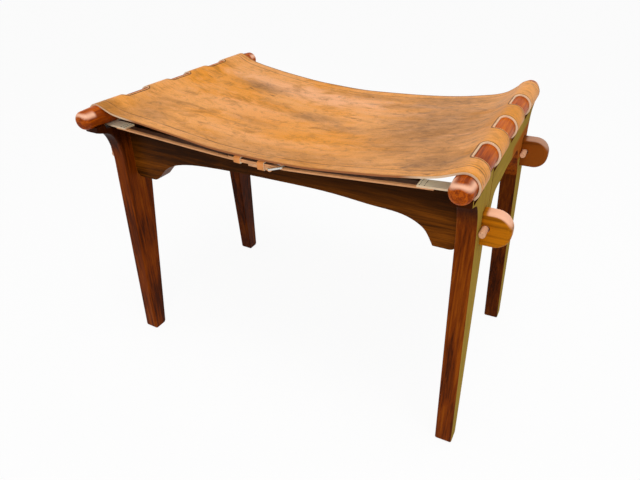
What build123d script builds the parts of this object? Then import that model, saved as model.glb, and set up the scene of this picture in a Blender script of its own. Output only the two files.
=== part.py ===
from build123d import *
from math import asin, atan, atan2, cos, degrees, hypot, pi, radians, sin, sqrt, tan
import os

# Knock-down stool: two leaning end frames, two side aprons whose tenons run through the legs and are
# locked by pegs, and a leather sling hung from two round rails and drawn tight by belts underneath.
# X runs along the long side, Y from front to back, Z up. The origin is on the floor under the middle.

os.makedirs("parts", exist_ok=True)

# Clearances and the reach of cutting tools
joint_clearance = 0.15
leather_clearance = 0.3
cut_overrun = 40.0

# Rails: their ends taper a little to a blunt tip
rail_radius = 15.0
rail_tip_radius = 13.5
rail_taper = 26.0
rail_tip_round = 9.0
rail_length = 452.0
rail_end_y = rail_length / 2
rail_x = 283.0
rail_z = 438.0

# End frame boards: their middle plane leans outwards from the top to the floor
board_thickness = 25.0
rail_gap = 4.5
frame_top_z = rail_z - rail_radius - rail_gap
frame_top_x = rail_x
frame_spread = 13.0
frame_foot_x = frame_top_x + frame_spread
lean = atan(frame_spread / frame_top_z)

# Horn at the top of a leg, and the lands between the leather tongues: they cradle the rail
horn_inset = 16.5
horn_end_y = rail_end_y - horn_inset
horn_lip = 6.0
cradle_cheek = 3.0
cradle_top_z = rail_z - rail_radius + cradle_cheek
horn_tip_z = rail_z - rail_radius - horn_lip
notch_clearance = 1.5

# Leg outline: insets from the horn's end and drops from the frame's top
foot_inset = 31.5
foot_width = 27.0
foot_front_y = horn_end_y - foot_inset
foot_back_y = foot_front_y - foot_width
foot_round = 6.0
knee_inset = 39.2
knee_drop = 88.5
knee_y = horn_end_y - knee_inset
knee_z = frame_top_z - knee_drop
neck_inset = 37.0
neck_drop = 36.5
neck_y = horn_end_y - neck_inset
neck_z = frame_top_z - neck_drop
throat_inset = 25.5
throat_drop = 12.0
throat_y = horn_end_y - throat_inset
throat_z = frame_top_z - throat_drop
leg_top_width = 103.8
leg_top_back_y = horn_end_y - leg_top_width
leg_edge_round = 2.5

# End apron: an arch between the legs, with a stub tenon into each
end_arch_drop = 33.5
end_arch_z = frame_top_z - end_arch_drop
end_arch_crown_inset = 50.7
end_arch_crown_y = leg_top_back_y - end_arch_crown_inset
end_arch_crown_drop = 2.5
end_arch_shoulder_inset = 21.7
end_arch_shoulder_y = leg_top_back_y - end_arch_shoulder_inset
end_arch_shoulder_drop = 7.5
end_arch_nose_inset = 12.2
end_arch_nose_y = leg_top_back_y - end_arch_nose_inset
end_arch_nose_drop = 20.0
end_ear_drop = 94.5
end_ear_z = frame_top_z - end_ear_drop
stub_thickness = 8.0
stub_length = 16.3
stub_reach_y = leg_top_back_y + stub_length
stub_low_drop = 73.5
stub_high_drop = 26.5
stub_low_z = frame_top_z - stub_low_drop
stub_high_z = frame_top_z - stub_high_drop

# Side apron: it goes through the legs a little inside the middle of their width
apron_offset = 5.1
apron_end_drop = 14.5
apron_middle_drop = 22.5
apron_end_z = frame_top_z - apron_end_drop
apron_middle_z = frame_top_z - apron_middle_drop
lobe_drop = 96.0
lobe_z = frame_top_z - lobe_drop
lobe_width = 32.5
lobe_corner_round = 11.0
side_arch_rise = 46.0
crisp_scroll_shares = ((0.45, 0.955), (0.667, 0.857), (0.82, 0.787), (0.903, 0.63), (0.95, 0.445))
soft_scroll_shares = ((0.45, 0.955), (0.667, 0.857), (0.76, 0.745), (0.847, 0.527), (0.909, 0.217))
soft_lobe_share = 0.98

# Through tenon and its paddle end, which is longer at the rear
tenon_thickness = 20.0
tenon_low_drop = 82.0
tenon_high_drop = 35.0
tenon_low_z = frame_top_z - tenon_low_drop
tenon_high_z = frame_top_z - tenon_high_drop
rear_paddle_length = 40.2
front_right_paddle_length = 36.2
front_left_paddle_length = 32.7
paddle_top_round = 22.0
paddle_low_round = 20.0
paddle_edge_round = 5.0

# Locking pegs: the hole is a little longer than the peg is wide, away from the leg
peg_drop = 56.5
peg_z = frame_top_z - peg_drop
peg_head_radius = 4.4
peg_tip_radius = 3.9
peg_head_reach = 18.0
peg_tip_reach = 6.0
peg_hole_clearance = 0.2
peg_hole_ease = 1.2
peg_leg_clearance = 0.5
peg_head_round = 1.5

# Dowels between the frame tops and the rails
dowel_radius = 5.0
dowel_depth_frame = 18.0
dowel_depth_rail = 11.0
dowel_offset_y = -8.0

# Seat leather: its long edges are set by their insets from the rails' ends
leather = 2.6
seat_front_left_inset = 35.0
seat_front_right_inset = 22.0
seat_rear_left_inset = 35.0
seat_rear_right_inset = 29.0
seat_front_waist = 6.0
seat_rear_waist = 12.0
sling_angle = radians(19.0)
front_sag = 35.2
rear_sag = 39.7
dish = 10.0
sling_place_shares = (-1.0, -0.9, -0.7, -0.45, -0.2, 0.05, 0.3, 0.55, 0.75, 0.9, 1.0)
front_sag_shares = (0.0, 0.31, 0.49, 0.73, 0.94, 1.0, 0.95, 0.745, 0.53, 0.3, 0.0)
rear_sag_shares = (0.0, 0.3, 0.56, 0.8, 0.95, 1.0, 0.985, 0.92, 0.76, 0.52, 0.0)
sling_section_shares = (-1.0, -0.5, 0.0, 0.5, 1.0)
window_width = 54.0
window_depth = 3.0
window_corner_round = 2.5
window_middle_shares_right = (-0.584, -0.108, 0.376)
window_middle_shares_left = (-0.478, -0.013, 0.447)

# Belts under the seat: four, front to back
front_belt_inset = 55.0
rear_belt_inset = 58.0
middle_belt_shares = (-0.292, 0.181)
belt_names = ("front", "mid_front", "mid_rear", "rear")
strap_thickness = 2.5
strap_width = 16.0
strap_gap = 0.2
flap_width = 20.0
flap_slope = radians(3.2)
flap_end_left_x = 243.0
flap_end_right_x = 223.0
strap_lap = 20.0
belt_drop = 10.0
belt_ease = 0.2

# Buckle, prong and keepers
bar_radius = 1.5
bar_clearance = 0.1
heel_x = 16.0
buckle_reach = 22.0
buckle_corner = 2.0
buckle_side_clearance = 0.6
fold_return = 34.0
fold_close = 6.5
prong_radius = 1.1
prong_ring_wall = 1.2
prong_width = 3.0
prong_slot_clearance = 0.5
tail_end_x = -54.0
tail_end_round = 6.5
keeper_wall = 1.8
keeper_width = 11.0
keeper_clearance = 0.3
outer_keeper_x = -35.5
inner_keeper_x = 3.5


def board_middle_x(z):
    """Distance of an end board's middle plane from the middle of the stool at a height."""
    return frame_top_x + (frame_top_z - z) * tan(lean)


def board_face_x(z, outside):
    """Distance of a face of an end board at a height: its outer face, or its inner one."""
    half = board_thickness / 2 / cos(lean)
    return board_middle_x(z) + (half if outside else -half)


def leg_back_y(z):
    """Distance of a leg's inner edge from the middle of the stool at a height."""
    return foot_back_y + (leg_top_back_y - foot_back_y) * z / frame_top_z


leg_middle_y = (leg_back_y(peg_z) + (knee_y + neck_y) / 2) / 2
apron_y = leg_middle_y - apron_offset


def board_plane(side):
    """Plane of an end board: local y runs up the board and its normal points outwards."""
    return Plane(
        origin=(side * frame_foot_x, 0, 0),
        x_dir=(0, side, 0),
        z_dir=(side * cos(lean), 0, sin(lean)),
    )


def window_middles(side):
    """Middles of the three windows of one rail, along Y."""
    shares = window_middle_shares_right if side > 0 else window_middle_shares_left
    return [share * rail_end_y for share in shares]


def dowel_ys(side):
    """Places of the dowels of one rail, each inside a window."""
    return [middle + dowel_offset_y for middle in window_middles(side)]


def side_name(side):
    """Word for the side of a piece."""
    return "right" if side > 0 else "left"


def end_name(end):
    """Word for the long side of the stool that a piece is on."""
    return "rear" if end > 0 else "front"


def finish(builder, label):
    """Label a finished piece and write it."""
    builder.part.label = label
    export_step(builder.part, f"parts/{label}.step")


def seat_corner_y(side, end):
    """Place along Y where a long edge of the seat reaches a rail."""
    if end > 0:
        return rail_end_y - (seat_rear_right_inset if side > 0 else seat_rear_left_inset)
    return (seat_front_right_inset if side > 0 else seat_front_left_inset) - rail_end_y


def tongue_spans(side):
    """Front and rear edges of the four tongues of one rail, along Y."""
    edges = [seat_corner_y(side, -1)]
    for middle in window_middles(side):
        edges += [middle - window_width / 2, middle + window_width / 2]
    edges.append(seat_corner_y(side, 1))
    return list(zip(edges[0::2], edges[1::2]))


def cradle_cutter(side):
    """Tool that cuts the rail's cradle and the notches for the tongues into a frame's top edge."""
    with BuildPart() as cutter:
        with BuildSketch(Plane((side * rail_x, -rail_end_y, rail_z), z_dir=(0, 1, 0))):
            Circle(rail_radius + joint_clearance)
        extrude(amount=rail_length)
        for front_y, rear_y in tongue_spans(side):
            with BuildSketch(Plane.XY.offset(frame_top_z)):
                with Locations((side * rail_x, (front_y + rear_y) / 2)):
                    Rectangle(2 * board_thickness, rear_y - front_y + 2 * notch_clearance)
            extrude(amount=rail_radius)
    return cutter.part


def dowel_cutter(side):
    """Holes for the dowels of one rail, as one tool for the frame and the rail."""
    with BuildPart() as cutter:
        for y in dowel_ys(side):
            plane = Plane((side * rail_x, y, frame_top_z - dowel_depth_frame - joint_clearance))
            with BuildSketch(plane):
                Circle(dowel_radius + joint_clearance)
            extrude(amount=dowel_depth_frame + rail_gap + dowel_depth_rail + 2 * joint_clearance)
    return cutter.part


dowel_holes = {side: dowel_cutter(side) for side in (-1, 1)}
rail_cradles = {side: cradle_cutter(side) for side in (-1, 1)}


# Rails

for side in (-1, 1):
    with BuildPart() as rail:
        with BuildSketch(Plane((side * rail_x, 0, rail_z))) as profile:
            with BuildLine():
                Polyline(
                    (0, -rail_end_y),
                    (rail_tip_radius, -rail_end_y),
                    (rail_radius, rail_taper - rail_end_y),
                    (rail_radius, rail_end_y - rail_taper),
                    (rail_tip_radius, rail_end_y),
                    (0, rail_end_y),
                    close=True,
                )
            make_face()
            tips = profile.vertices().filter_by(
                lambda point: point.X > 0 and abs(point.Y) > rail_end_y - rail_tip_round
            )
            fillet(tips, rail_tip_round)
        revolve(axis=Axis((side * rail_x, 0, rail_z), (0, 1, 0)))
        add(dowel_holes[side], mode=Mode.SUBTRACT)
    finish(rail, f"rail_{side_name(side)}")

    with BuildPart() as dowels:
        for y in dowel_ys(side):
            with BuildSketch(Plane((side * rail_x, y, frame_top_z - dowel_depth_frame))):
                Circle(dowel_radius)
            extrude(amount=dowel_depth_frame + rail_gap + dowel_depth_rail)
    finish(dowels, f"rail_dowels_{side_name(side)}")


# Legs

def leg(side, end):
    """One leg: end is -1 at the front and 1 at the rear."""
    outward = side * end
    with BuildPart() as piece:
        plane = board_plane(side)
        with BuildSketch(plane.offset(-board_thickness / 2)) as outline:
            with BuildLine():
                Line((outward * foot_back_y, 0), (outward * foot_front_y, 0))
                Line((outward * foot_front_y, 0), (outward * knee_y, knee_z))
                Spline(
                    (outward * knee_y, knee_z),
                    (outward * neck_y, neck_z),
                    (outward * throat_y, throat_z),
                    (outward * horn_end_y, horn_tip_z),
                    tangents=(
                        (outward * (knee_y - foot_front_y), knee_z),
                        (outward * (horn_end_y - throat_y), horn_tip_z - throat_z),
                    ),
                )
                Polyline(
                    (outward * horn_end_y, horn_tip_z),
                    (outward * horn_end_y, cradle_top_z),
                    (outward * leg_back_y(cradle_top_z), cradle_top_z),
                    (outward * foot_back_y, 0),
                )
            make_face()
            fillet(outline.vertices().group_by(Axis.Y)[0], foot_round)
        extrude(amount=board_thickness)
        front_edges = piece.edges().filter_by(
            lambda edge: abs(edge.center().Y) > knee_y - leg_edge_round and edge.length > board_thickness * 2
        )
        fillet(front_edges, leg_edge_round)
        # Flat foot, whatever the lean
        with BuildSketch(Plane.XY):
            with Locations((side * frame_foot_x, end * foot_front_y)):
                Rectangle(board_thickness * 4, foot_front_y)
        extrude(amount=-cut_overrun, mode=Mode.SUBTRACT)
        add(rail_cradles[side], mode=Mode.SUBTRACT)
        # Through mortise for the side apron
        with BuildSketch(Plane((0, end * apron_y, 0), z_dir=(side, 0, 0), x_dir=(0, side, 0))):
            with Locations((0, (tenon_low_z + tenon_high_z) / 2)):
                Rectangle(
                    tenon_thickness + 2 * joint_clearance,
                    tenon_high_z - tenon_low_z + 2 * joint_clearance,
                )
        extrude(amount=frame_foot_x + cut_overrun, mode=Mode.SUBTRACT)
        # Socket for the end apron's stub tenon
        with BuildSketch(plane.offset(-stub_thickness / 2 - joint_clearance)):
            with Locations((outward * stub_reach_y / 2, (stub_low_z + stub_high_z) / 2)):
                Rectangle(
                    stub_reach_y + 2 * joint_clearance,
                    stub_high_z - stub_low_z + 2 * joint_clearance,
                )
        extrude(amount=stub_thickness + 2 * joint_clearance, mode=Mode.SUBTRACT)
        add(dowel_holes[side], mode=Mode.SUBTRACT)
    return piece


for side in (-1, 1):
    for end in (-1, 1):
        finish(leg(side, end), f"leg_{end_name(end)}_{side_name(side)}")


# End aprons

def end_arch(ear_y):
    """The two halves of the arch, from its crown to the ears against the legs."""
    for half in (-1, 1):
        Spline(
            (0, end_arch_z),
            (half * end_arch_crown_y, end_arch_z - end_arch_crown_drop),
            (half * end_arch_shoulder_y, end_arch_z - end_arch_shoulder_drop),
            (half * end_arch_nose_y, end_arch_z - end_arch_nose_drop),
            (half * ear_y, end_ear_z),
            tangents=((half, 0), (half * (foot_back_y - leg_top_back_y), -frame_top_z)),
        )


def end_apron(side):
    """Arched board between the legs of one end."""
    ear_y = leg_back_y(end_ear_z) - joint_clearance
    top_y = leg_back_y(cradle_top_z) - joint_clearance
    with BuildPart() as piece:
        plane = board_plane(side)
        with BuildSketch(plane.offset(-board_thickness / 2)):
            with BuildLine():
                Polyline((-ear_y, end_ear_z), (-top_y, cradle_top_z), (top_y, cradle_top_z), (ear_y, end_ear_z))
                end_arch(ear_y)
            make_face()
        extrude(amount=board_thickness)
        # Stub tenons, whose roots follow the arch
        with BuildSketch(plane.offset(-stub_thickness / 2)):
            for half in (-1, 1):
                with Locations((half * (end_arch_shoulder_y + stub_reach_y) / 2, (stub_low_z + stub_high_z) / 2)):
                    Rectangle(stub_reach_y - end_arch_shoulder_y, stub_high_z - stub_low_z)
        extrude(amount=stub_thickness)
        with BuildSketch(plane.offset(-board_thickness / 2)):
            with BuildLine():
                end_arch(ear_y)
                Line((-ear_y, end_ear_z), (ear_y, end_ear_z))
            make_face()
        extrude(amount=board_thickness, mode=Mode.SUBTRACT)
        add(rail_cradles[side], mode=Mode.SUBTRACT)
        add(dowel_holes[side], mode=Mode.SUBTRACT)
    return piece


for side in (-1, 1):
    finish(end_apron(side), f"end_apron_{side_name(side)}")


# Side aprons, their through tenons and the pegs

def peg_x(side):
    """A peg stands just outside the outer face of its leg."""
    return side * (board_face_x(peg_z - peg_head_radius, True) + peg_leg_clearance + peg_head_radius)


def paddle_reach(side, end):
    """Distance of a paddle's end from the middle of the stool."""
    front_length = front_right_paddle_length if side > 0 else front_left_paddle_length
    return board_face_x(peg_z, True) + (rear_paddle_length if end > 0 else front_length)


side_arch_half = board_face_x(lobe_z, False) - lobe_width


def scroll_points(side, shares):
    """Points of the scrolled lower edge from the arch's crown outwards."""
    return [(side * side_arch_half * x, lobe_z + side_arch_rise * rise) for x, rise in shares]


def side_apron(end):
    """Scrolled board from one end frame to the other."""
    right_scroll = scroll_points(1, crisp_scroll_shares) + [(side_arch_half, lobe_z)]
    left_scroll = scroll_points(-1, soft_scroll_shares) + [(-side_arch_half * soft_lobe_share, lobe_z)]
    crown = (0, lobe_z + side_arch_rise)
    top_x = board_face_x(apron_end_z, False) - joint_clearance
    low_x = board_face_x(lobe_z, False) - joint_clearance
    with BuildPart() as piece:
        with BuildSketch(Plane.XZ.offset(-end * apron_y - board_thickness / 2)) as outline:
            with BuildLine():
                ThreePointArc((-top_x, apron_end_z), (0, apron_middle_z), (top_x, apron_end_z))
                Line((top_x, apron_end_z), (low_x, lobe_z))
                Line((low_x, lobe_z), right_scroll[-1])
                Spline(crown, *left_scroll, tangents=((-1, 0), (-1, 0)))
                Spline(
                    crown,
                    *right_scroll,
                    tangents=((1, 0), (side_arch_half - right_scroll[-2][0], lobe_z - right_scroll[-2][1])),
                )
                Line(left_scroll[-1], (-low_x, lobe_z))
                Line((-low_x, lobe_z), (-top_x, apron_end_z))
            make_face()
            corners = outline.vertices().filter_by(
                lambda point: abs(point.X) > side_arch_half + lobe_corner_round
            )
            fillet(corners.group_by(Axis.Y)[0], lobe_corner_round)
        extrude(amount=board_thickness)
        with BuildSketch(Plane.XZ.offset(-end * apron_y - tenon_thickness / 2)) as tenon:
            with BuildLine():
                Polyline(
                    (-paddle_reach(-1, end), tenon_low_z),
                    (paddle_reach(1, end), tenon_low_z),
                    (paddle_reach(1, end), tenon_high_z),
                    (-paddle_reach(-1, end), tenon_high_z),
                    close=True,
                )
            make_face()
            fillet(tenon.vertices().group_by(Axis.Y)[0], paddle_low_round)
            fillet(tenon.vertices().group_by(Axis.Y)[-1], paddle_top_round)
            inner_x = side_arch_half + lobe_corner_round
            with Locations((0, (tenon_low_z + tenon_high_z) / 2)):
                Rectangle(2 * inner_x, tenon_high_z - tenon_low_z, mode=Mode.SUBTRACT)
        extrude(amount=tenon_thickness)
        paddle_edges = piece.edges().filter_by(
            lambda edge: abs(edge.center().X) > board_face_x(tenon_low_z, True) + paddle_edge_round
            and abs(abs(edge.center().Y - end * apron_y) - tenon_thickness / 2) < joint_clearance
        ).filter_by(lambda edge: edge.geom_type != GeomType.LINE or edge.length < board_thickness)
        fillet(paddle_edges, paddle_edge_round)
        for side in (-1, 1):
            hole_x = peg_x(side) + side * peg_hole_ease / 2
            hole_plane = Plane((hole_x, end * apron_y - board_thickness, peg_z), x_dir=(1, 0, 0), z_dir=(0, 1, 0))
            hole_height = 2 * (peg_head_radius + peg_hole_clearance)
            with BuildSketch(hole_plane):
                SlotOverall(hole_height + peg_hole_ease, hole_height)
            extrude(amount=2 * board_thickness, mode=Mode.SUBTRACT)
    return piece


def peg(side, end):
    """Tapered peg, put in from the front."""
    length = peg_head_reach + tenon_thickness + peg_tip_reach
    start_y = end * apron_y - tenon_thickness / 2 - peg_head_reach
    with BuildPart() as piece:
        with BuildSketch(Plane((peg_x(side), start_y, peg_z), z_dir=(0, 1, 0))):
            Circle(peg_head_radius)
        with BuildSketch(Plane((peg_x(side), start_y + length, peg_z), z_dir=(0, 1, 0))):
            Circle(peg_tip_radius)
        loft()
        fillet(piece.edges().filter_by(GeomType.CIRCLE), peg_head_round)
    return piece


for end in (-1, 1):
    finish(side_apron(end), f"side_apron_{end_name(end)}")
    for side in (-1, 1):
        finish(peg(side, end), f"peg_{end_name(end)}_{side_name(side)}")


# Seat leather

wrap_inner = rail_radius + leather_clearance
wrap_outer = wrap_inner + leather
sling_half = rail_x - wrap_outer * sin(sling_angle)
sling_end_z = rail_z + wrap_outer * cos(sling_angle)
seat_front_y = min(seat_corner_y(-1, -1), seat_corner_y(1, -1))
seat_rear_y = max(seat_corner_y(-1, 1), seat_corner_y(1, 1))


def seat_y(y_share):
    """Place along Y at a share of the seat's width, from -1 at its front to 1 at its rear."""
    return (seat_front_y + seat_rear_y + y_share * (seat_rear_y - seat_front_y)) / 2


def seat_y_share(y):
    """Share of the seat's width at a place along Y."""
    return (2 * y - seat_front_y - seat_rear_y) / (seat_rear_y - seat_front_y)


def sling_drop(y_share, x_share, front_share, rear_share):
    """How far the sling hangs under its ends: its edges' shares of their sag, and the dish between them."""
    edges = (front_sag * front_share * (1 - y_share) + rear_sag * rear_share * (1 + y_share)) / 2
    return edges + dish * (1 - x_share ** 2) ** 2 * (1 - y_share ** 2)


def sling_points(radius, y_share):
    """Points of one face of the sling at a place across it."""
    half = rail_x - radius * sin(sling_angle)
    end_z = rail_z + radius * cos(sling_angle)
    places = zip(sling_place_shares, front_sag_shares, rear_sag_shares)
    return [(x * half, end_z - sling_drop(y_share, x, front, rear)) for x, front, rear in places]


def flap_points(side, end_x):
    """Outline of a flap from the underside of the rail inwards."""
    def on_wrap(radius):
        return (side * (rail_x + radius * sin(flap_slope)), rail_z - radius * cos(flap_slope))

    inner, outer = on_wrap(wrap_inner), on_wrap(wrap_outer)
    run = abs(outer[0]) - end_x
    end_low = (side * end_x, outer[1] - run * tan(flap_slope))
    end_high = (side * end_x, end_low[1] + leather)
    return [inner, outer, end_low, end_high]


def flap_end_x(side):
    """Distance of a flap's free end from the middle of the stool."""
    return flap_end_right_x if side > 0 else flap_end_left_x


def flap_under_z(x):
    """Height of the underside of a flap, at a distance from the middle."""
    return rail_z - wrap_outer * cos(flap_slope) - (rail_x + wrap_outer * sin(flap_slope) - x) * tan(flap_slope)


def belt_ys():
    """Places of the belts along Y."""
    middle_ys = [share * rail_end_y for share in middle_belt_shares]
    return [front_belt_inset - rail_end_y, *middle_ys, rail_end_y - rear_belt_inset]


with BuildPart() as seat_leather:
    for y_share in sling_section_shares:
        with BuildSketch(Plane.XZ.offset(-seat_y(y_share))):
            high = sling_points(wrap_outer, y_share)
            low = sling_points(wrap_inner, y_share)
            rise = sin(sling_angle)
            run = cos(sling_angle)
            with BuildLine():
                Spline(*high, tangents=((run, -rise), (run, rise)))
                Spline(*low, tangents=((run, -rise), (run, rise)))
                Line(high[0], low[0])
                Line(high[-1], low[-1])
            make_face()
    loft()
    # Long edges drawn in between the rails
    for end, waist in ((-1, seat_front_waist), (1, seat_rear_waist)):
        left_y, right_y = seat_corner_y(-1, end), seat_corner_y(1, end)
        with BuildSketch(Plane.XY.offset(frame_top_z - cut_overrun)):
            with BuildLine():
                ThreePointArc(
                    (-sling_half, left_y),
                    (0, (left_y + right_y) / 2 - end * waist),
                    (sling_half, right_y),
                )
                Polyline(
                    (sling_half, right_y),
                    (rail_x, right_y),
                    (rail_x, end * rail_end_y),
                    (-rail_x, end * rail_end_y),
                    (-rail_x, left_y),
                    (-sling_half, left_y),
                )
            make_face()
        extrude(amount=rail_z, mode=Mode.SUBTRACT)
    # Windows reach a little way into the sling
    window_reach = rail_x - sling_half + window_depth
    for side in (-1, 1):
        with BuildSketch(Plane.XY.offset(rail_z)):
            for middle in window_middles(side):
                with Locations((side * rail_x, middle)):
                    RectangleRounded(2 * window_reach, window_width, window_corner_round)
        extrude(amount=wrap_outer + cut_overrun, mode=Mode.SUBTRACT)
    # Tongues round the rails, then the flaps that return under them
    half_turn = degrees(pi)
    for side in (-1, 1):
        turn = half_turn + degrees(sling_angle) - degrees(flap_slope)
        start = degrees(atan2(-cos(flap_slope), sin(flap_slope)))
        first_angle = start if side > 0 else half_turn - start - turn
        for front_y, rear_y in tongue_spans(side):
            with BuildSketch(Plane.XZ.offset(-rear_y)):
                with BuildLine():
                    outer_arc = CenterArc((side * rail_x, rail_z), wrap_outer, first_angle, turn)
                    inner_arc = CenterArc((side * rail_x, rail_z), wrap_inner, first_angle, turn)
                    Line(outer_arc @ 0, inner_arc @ 0)
                    Line(outer_arc @ 1, inner_arc @ 1)
                make_face()
            extrude(amount=rear_y - front_y)
        for belt_y in belt_ys():
            with BuildSketch(Plane.XZ.offset(-belt_y - flap_width / 2)):
                with BuildLine():
                    Polyline(*flap_points(side, flap_end_x(side)), close=True)
                make_face()
            extrude(amount=flap_width)
finish(seat_leather, "seat_leather")


# Belts: everything is placed from one line, the top of the strap that carries the buckle

def belt_top_z(x, y):
    """Height of the top of the plain strap at a place along a belt."""
    deepest = sling_drop(seat_y_share(y), 0, 1, 1)
    middle_z = sling_end_z - leather - deepest - belt_drop
    flap_end = flap_end_x(1 if x > 0 else -1)
    if abs(x) > flap_end:
        return flap_under_z(abs(x)) - strap_gap
    end_z = flap_under_z(flap_end) - strap_gap
    rise = end_z - middle_z
    straight = 2 - tan(flap_slope) * flap_end / rise
    share = abs(x) / flap_end
    eased = (sqrt(share ** 2 + belt_ease ** 2) - belt_ease) / (sqrt(1 + belt_ease ** 2) - belt_ease)
    return middle_z + rise * (straight * eased + (1 - straight) * share ** 2)


def belt_slope(x, y):
    """Slope of the belt's line, from two places a strap's width apart."""
    half = strap_width / 2
    return atan((belt_top_z(x + half, y) - belt_top_z(x - half, y)) / strap_width)


def line_points(xs, y, lift):
    """Points that follow the belt's line at a height over it."""
    return [(x, belt_top_z(x, y) + lift) for x in xs]


strap_spans = 6


def spread(first_x, last_x):
    """Evenly spaced places along a strap."""
    return [first_x + (last_x - first_x) * step / strap_spans for step in range(strap_spans + 1)]


def heel_z(y):
    """Height of the buckle's heel bar, inside the fold of its strap."""
    return belt_top_z(heel_x, y) - strap_thickness - bar_clearance - bar_radius


def buckle_strap(y):
    """Strap from the left flap, folded round the heel bar."""
    fold_inner = bar_radius + bar_clearance
    fold_outer = fold_inner + strap_thickness
    bar = (heel_x, heel_z(y))
    start_x = -flap_end_left_x - strap_lap
    upper = line_points(spread(start_x, heel_x), y, 0)
    under = line_points(spread(start_x, heel_x), y, -strap_thickness)
    closed_xs = spread(heel_x - fold_close, heel_x - fold_return)
    closed_top = line_points(closed_xs, y, -strap_thickness - strap_gap)
    closed_low = [(px, pz - strap_thickness) for px, pz in closed_top]
    level = ((-1, 0), (-1, 0))
    with BuildPart() as piece:
        with BuildSketch(Plane.XZ.offset(-y - strap_width / 2)):
            with BuildLine():
                Spline(*upper)
                ThreePointArc(upper[-1], (bar[0] + fold_outer, bar[1]), (bar[0], bar[1] - fold_outer))
                Spline((bar[0], bar[1] - fold_outer), closed_low[0], tangents=level)
                Spline(*closed_low, tangents=level)
                Line(closed_low[-1], closed_top[-1])
                Spline(*closed_top, tangents=level)
                Spline((bar[0], bar[1] - fold_inner), closed_top[0], tangents=level)
                ThreePointArc((bar[0], bar[1] - fold_inner), (bar[0] + fold_inner, bar[1]), under[-1])
                Spline(*under)
                Line(under[0], upper[0])
            make_face()
        extrude(amount=strap_width)
        # Slot in the fold for the prong
        slot_start = heel_x - bar_radius - prong_ring_wall - 2 * prong_slot_clearance
        slot_end = heel_x + fold_outer + prong_slot_clearance
        with BuildSketch(Plane.XY.offset(bar[1] - 2 * fold_outer)):
            with Locations(((slot_start + slot_end) / 2, y)):
                Rectangle(slot_end - slot_start, prong_width + 2 * prong_slot_clearance)
        extrude(amount=4 * fold_outer, mode=Mode.SUBTRACT)
    return piece


# How the tail strap climbs from under the toe bar to the top of the stack: shares of the
# buckle's reach from the heel bar, and of the climb
tail_climb_shares = ((1.1, 0.0), (0.95, 0.05), (0.7, 0.3), (0.35, 0.8), (0.0, 1.0))
tail_slot_shares = (0.05, 0.85)


def tail_climb():
    """Rise of the tail strap from its own level to the top of the buckle strap."""
    return strap_thickness + strap_gap


def toe_place(y):
    """Middle of the toe bar, which lies on the tail strap."""
    x = heel_x + buckle_reach * cos(buckle_tilt)
    return x, belt_top_z(x, y) + strap_gap + tail_climb() * tail_climb_shares[1][1] + bar_radius


buckle_tilt = atan((strap_thickness + bar_clearance + 2 * bar_radius) / buckle_reach)


def tail_strap(y):
    """Strap from the right flap, under the toe bar, over the heel bar and on to the keepers."""
    plain_xs = spread(flap_end_right_x + strap_lap, heel_x + 2 * buckle_reach)
    climb_xs = [(heel_x + buckle_reach * reach, tail_climb() * climb) for reach, climb in tail_climb_shares]
    upper = line_points(plain_xs, y, 0)
    upper += [(x, belt_top_z(x, y) + lift) for x, lift in climb_xs]
    between_keepers_x = (inner_keeper_x + outer_keeper_x) / 2
    upper += line_points((inner_keeper_x, between_keepers_x, outer_keeper_x, tail_end_x), y, tail_climb())
    under = [(x, z - strap_thickness) for x, z in upper]
    with BuildPart() as piece:
        with BuildSketch(Plane.XZ.offset(-y - strap_width / 2)):
            with BuildLine():
                Spline(*upper)
                Spline(*under)
                Line(upper[0], under[0])
                Line(upper[-1], under[-1])
            make_face()
        extrude(amount=strap_width)
        # Rounded tail
        fillet(piece.edges().filter_by(Axis.Z).group_by(Axis.X)[0], tail_end_round)
        slot_start, slot_end = [heel_x + buckle_reach * share for share in tail_slot_shares]
        with BuildSketch(Plane.XY.offset(heel_z(y) - strap_width / 2)):
            with Locations(((slot_start + slot_end) / 2, y)):
                SlotOverall(slot_end - slot_start, 2 * (prong_radius + prong_slot_clearance))
        extrude(amount=strap_width, mode=Mode.SUBTRACT)
    return piece


def buckle(y):
    """Rectangular wire frame round the straps."""
    half_width = strap_width / 2 + buckle_side_clearance + bar_radius
    toe_x, toe_z = toe_place(y)
    frame_plane = Plane(
        origin=(heel_x, y, heel_z(y)),
        x_dir=(toe_x - heel_x, 0, toe_z - heel_z(y)),
        z_dir=(heel_z(y) - toe_z, 0, toe_x - heel_x),
    )
    reach = sqrt((toe_x - heel_x) ** 2 + (toe_z - heel_z(y)) ** 2)
    with BuildPart() as piece:
        with BuildLine(frame_plane) as ring:
            for half in (half_width, -half_width):
                FilletPolyline((0, 0), (0, half), (reach, half), (reach, 0), radius=buckle_corner)
        with BuildSketch(Plane(ring.wires()[0] @ 0, z_dir=ring.wires()[0] % 0)):
            Circle(bar_radius)
        sweep(path=ring.wires()[0])
    return piece


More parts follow.
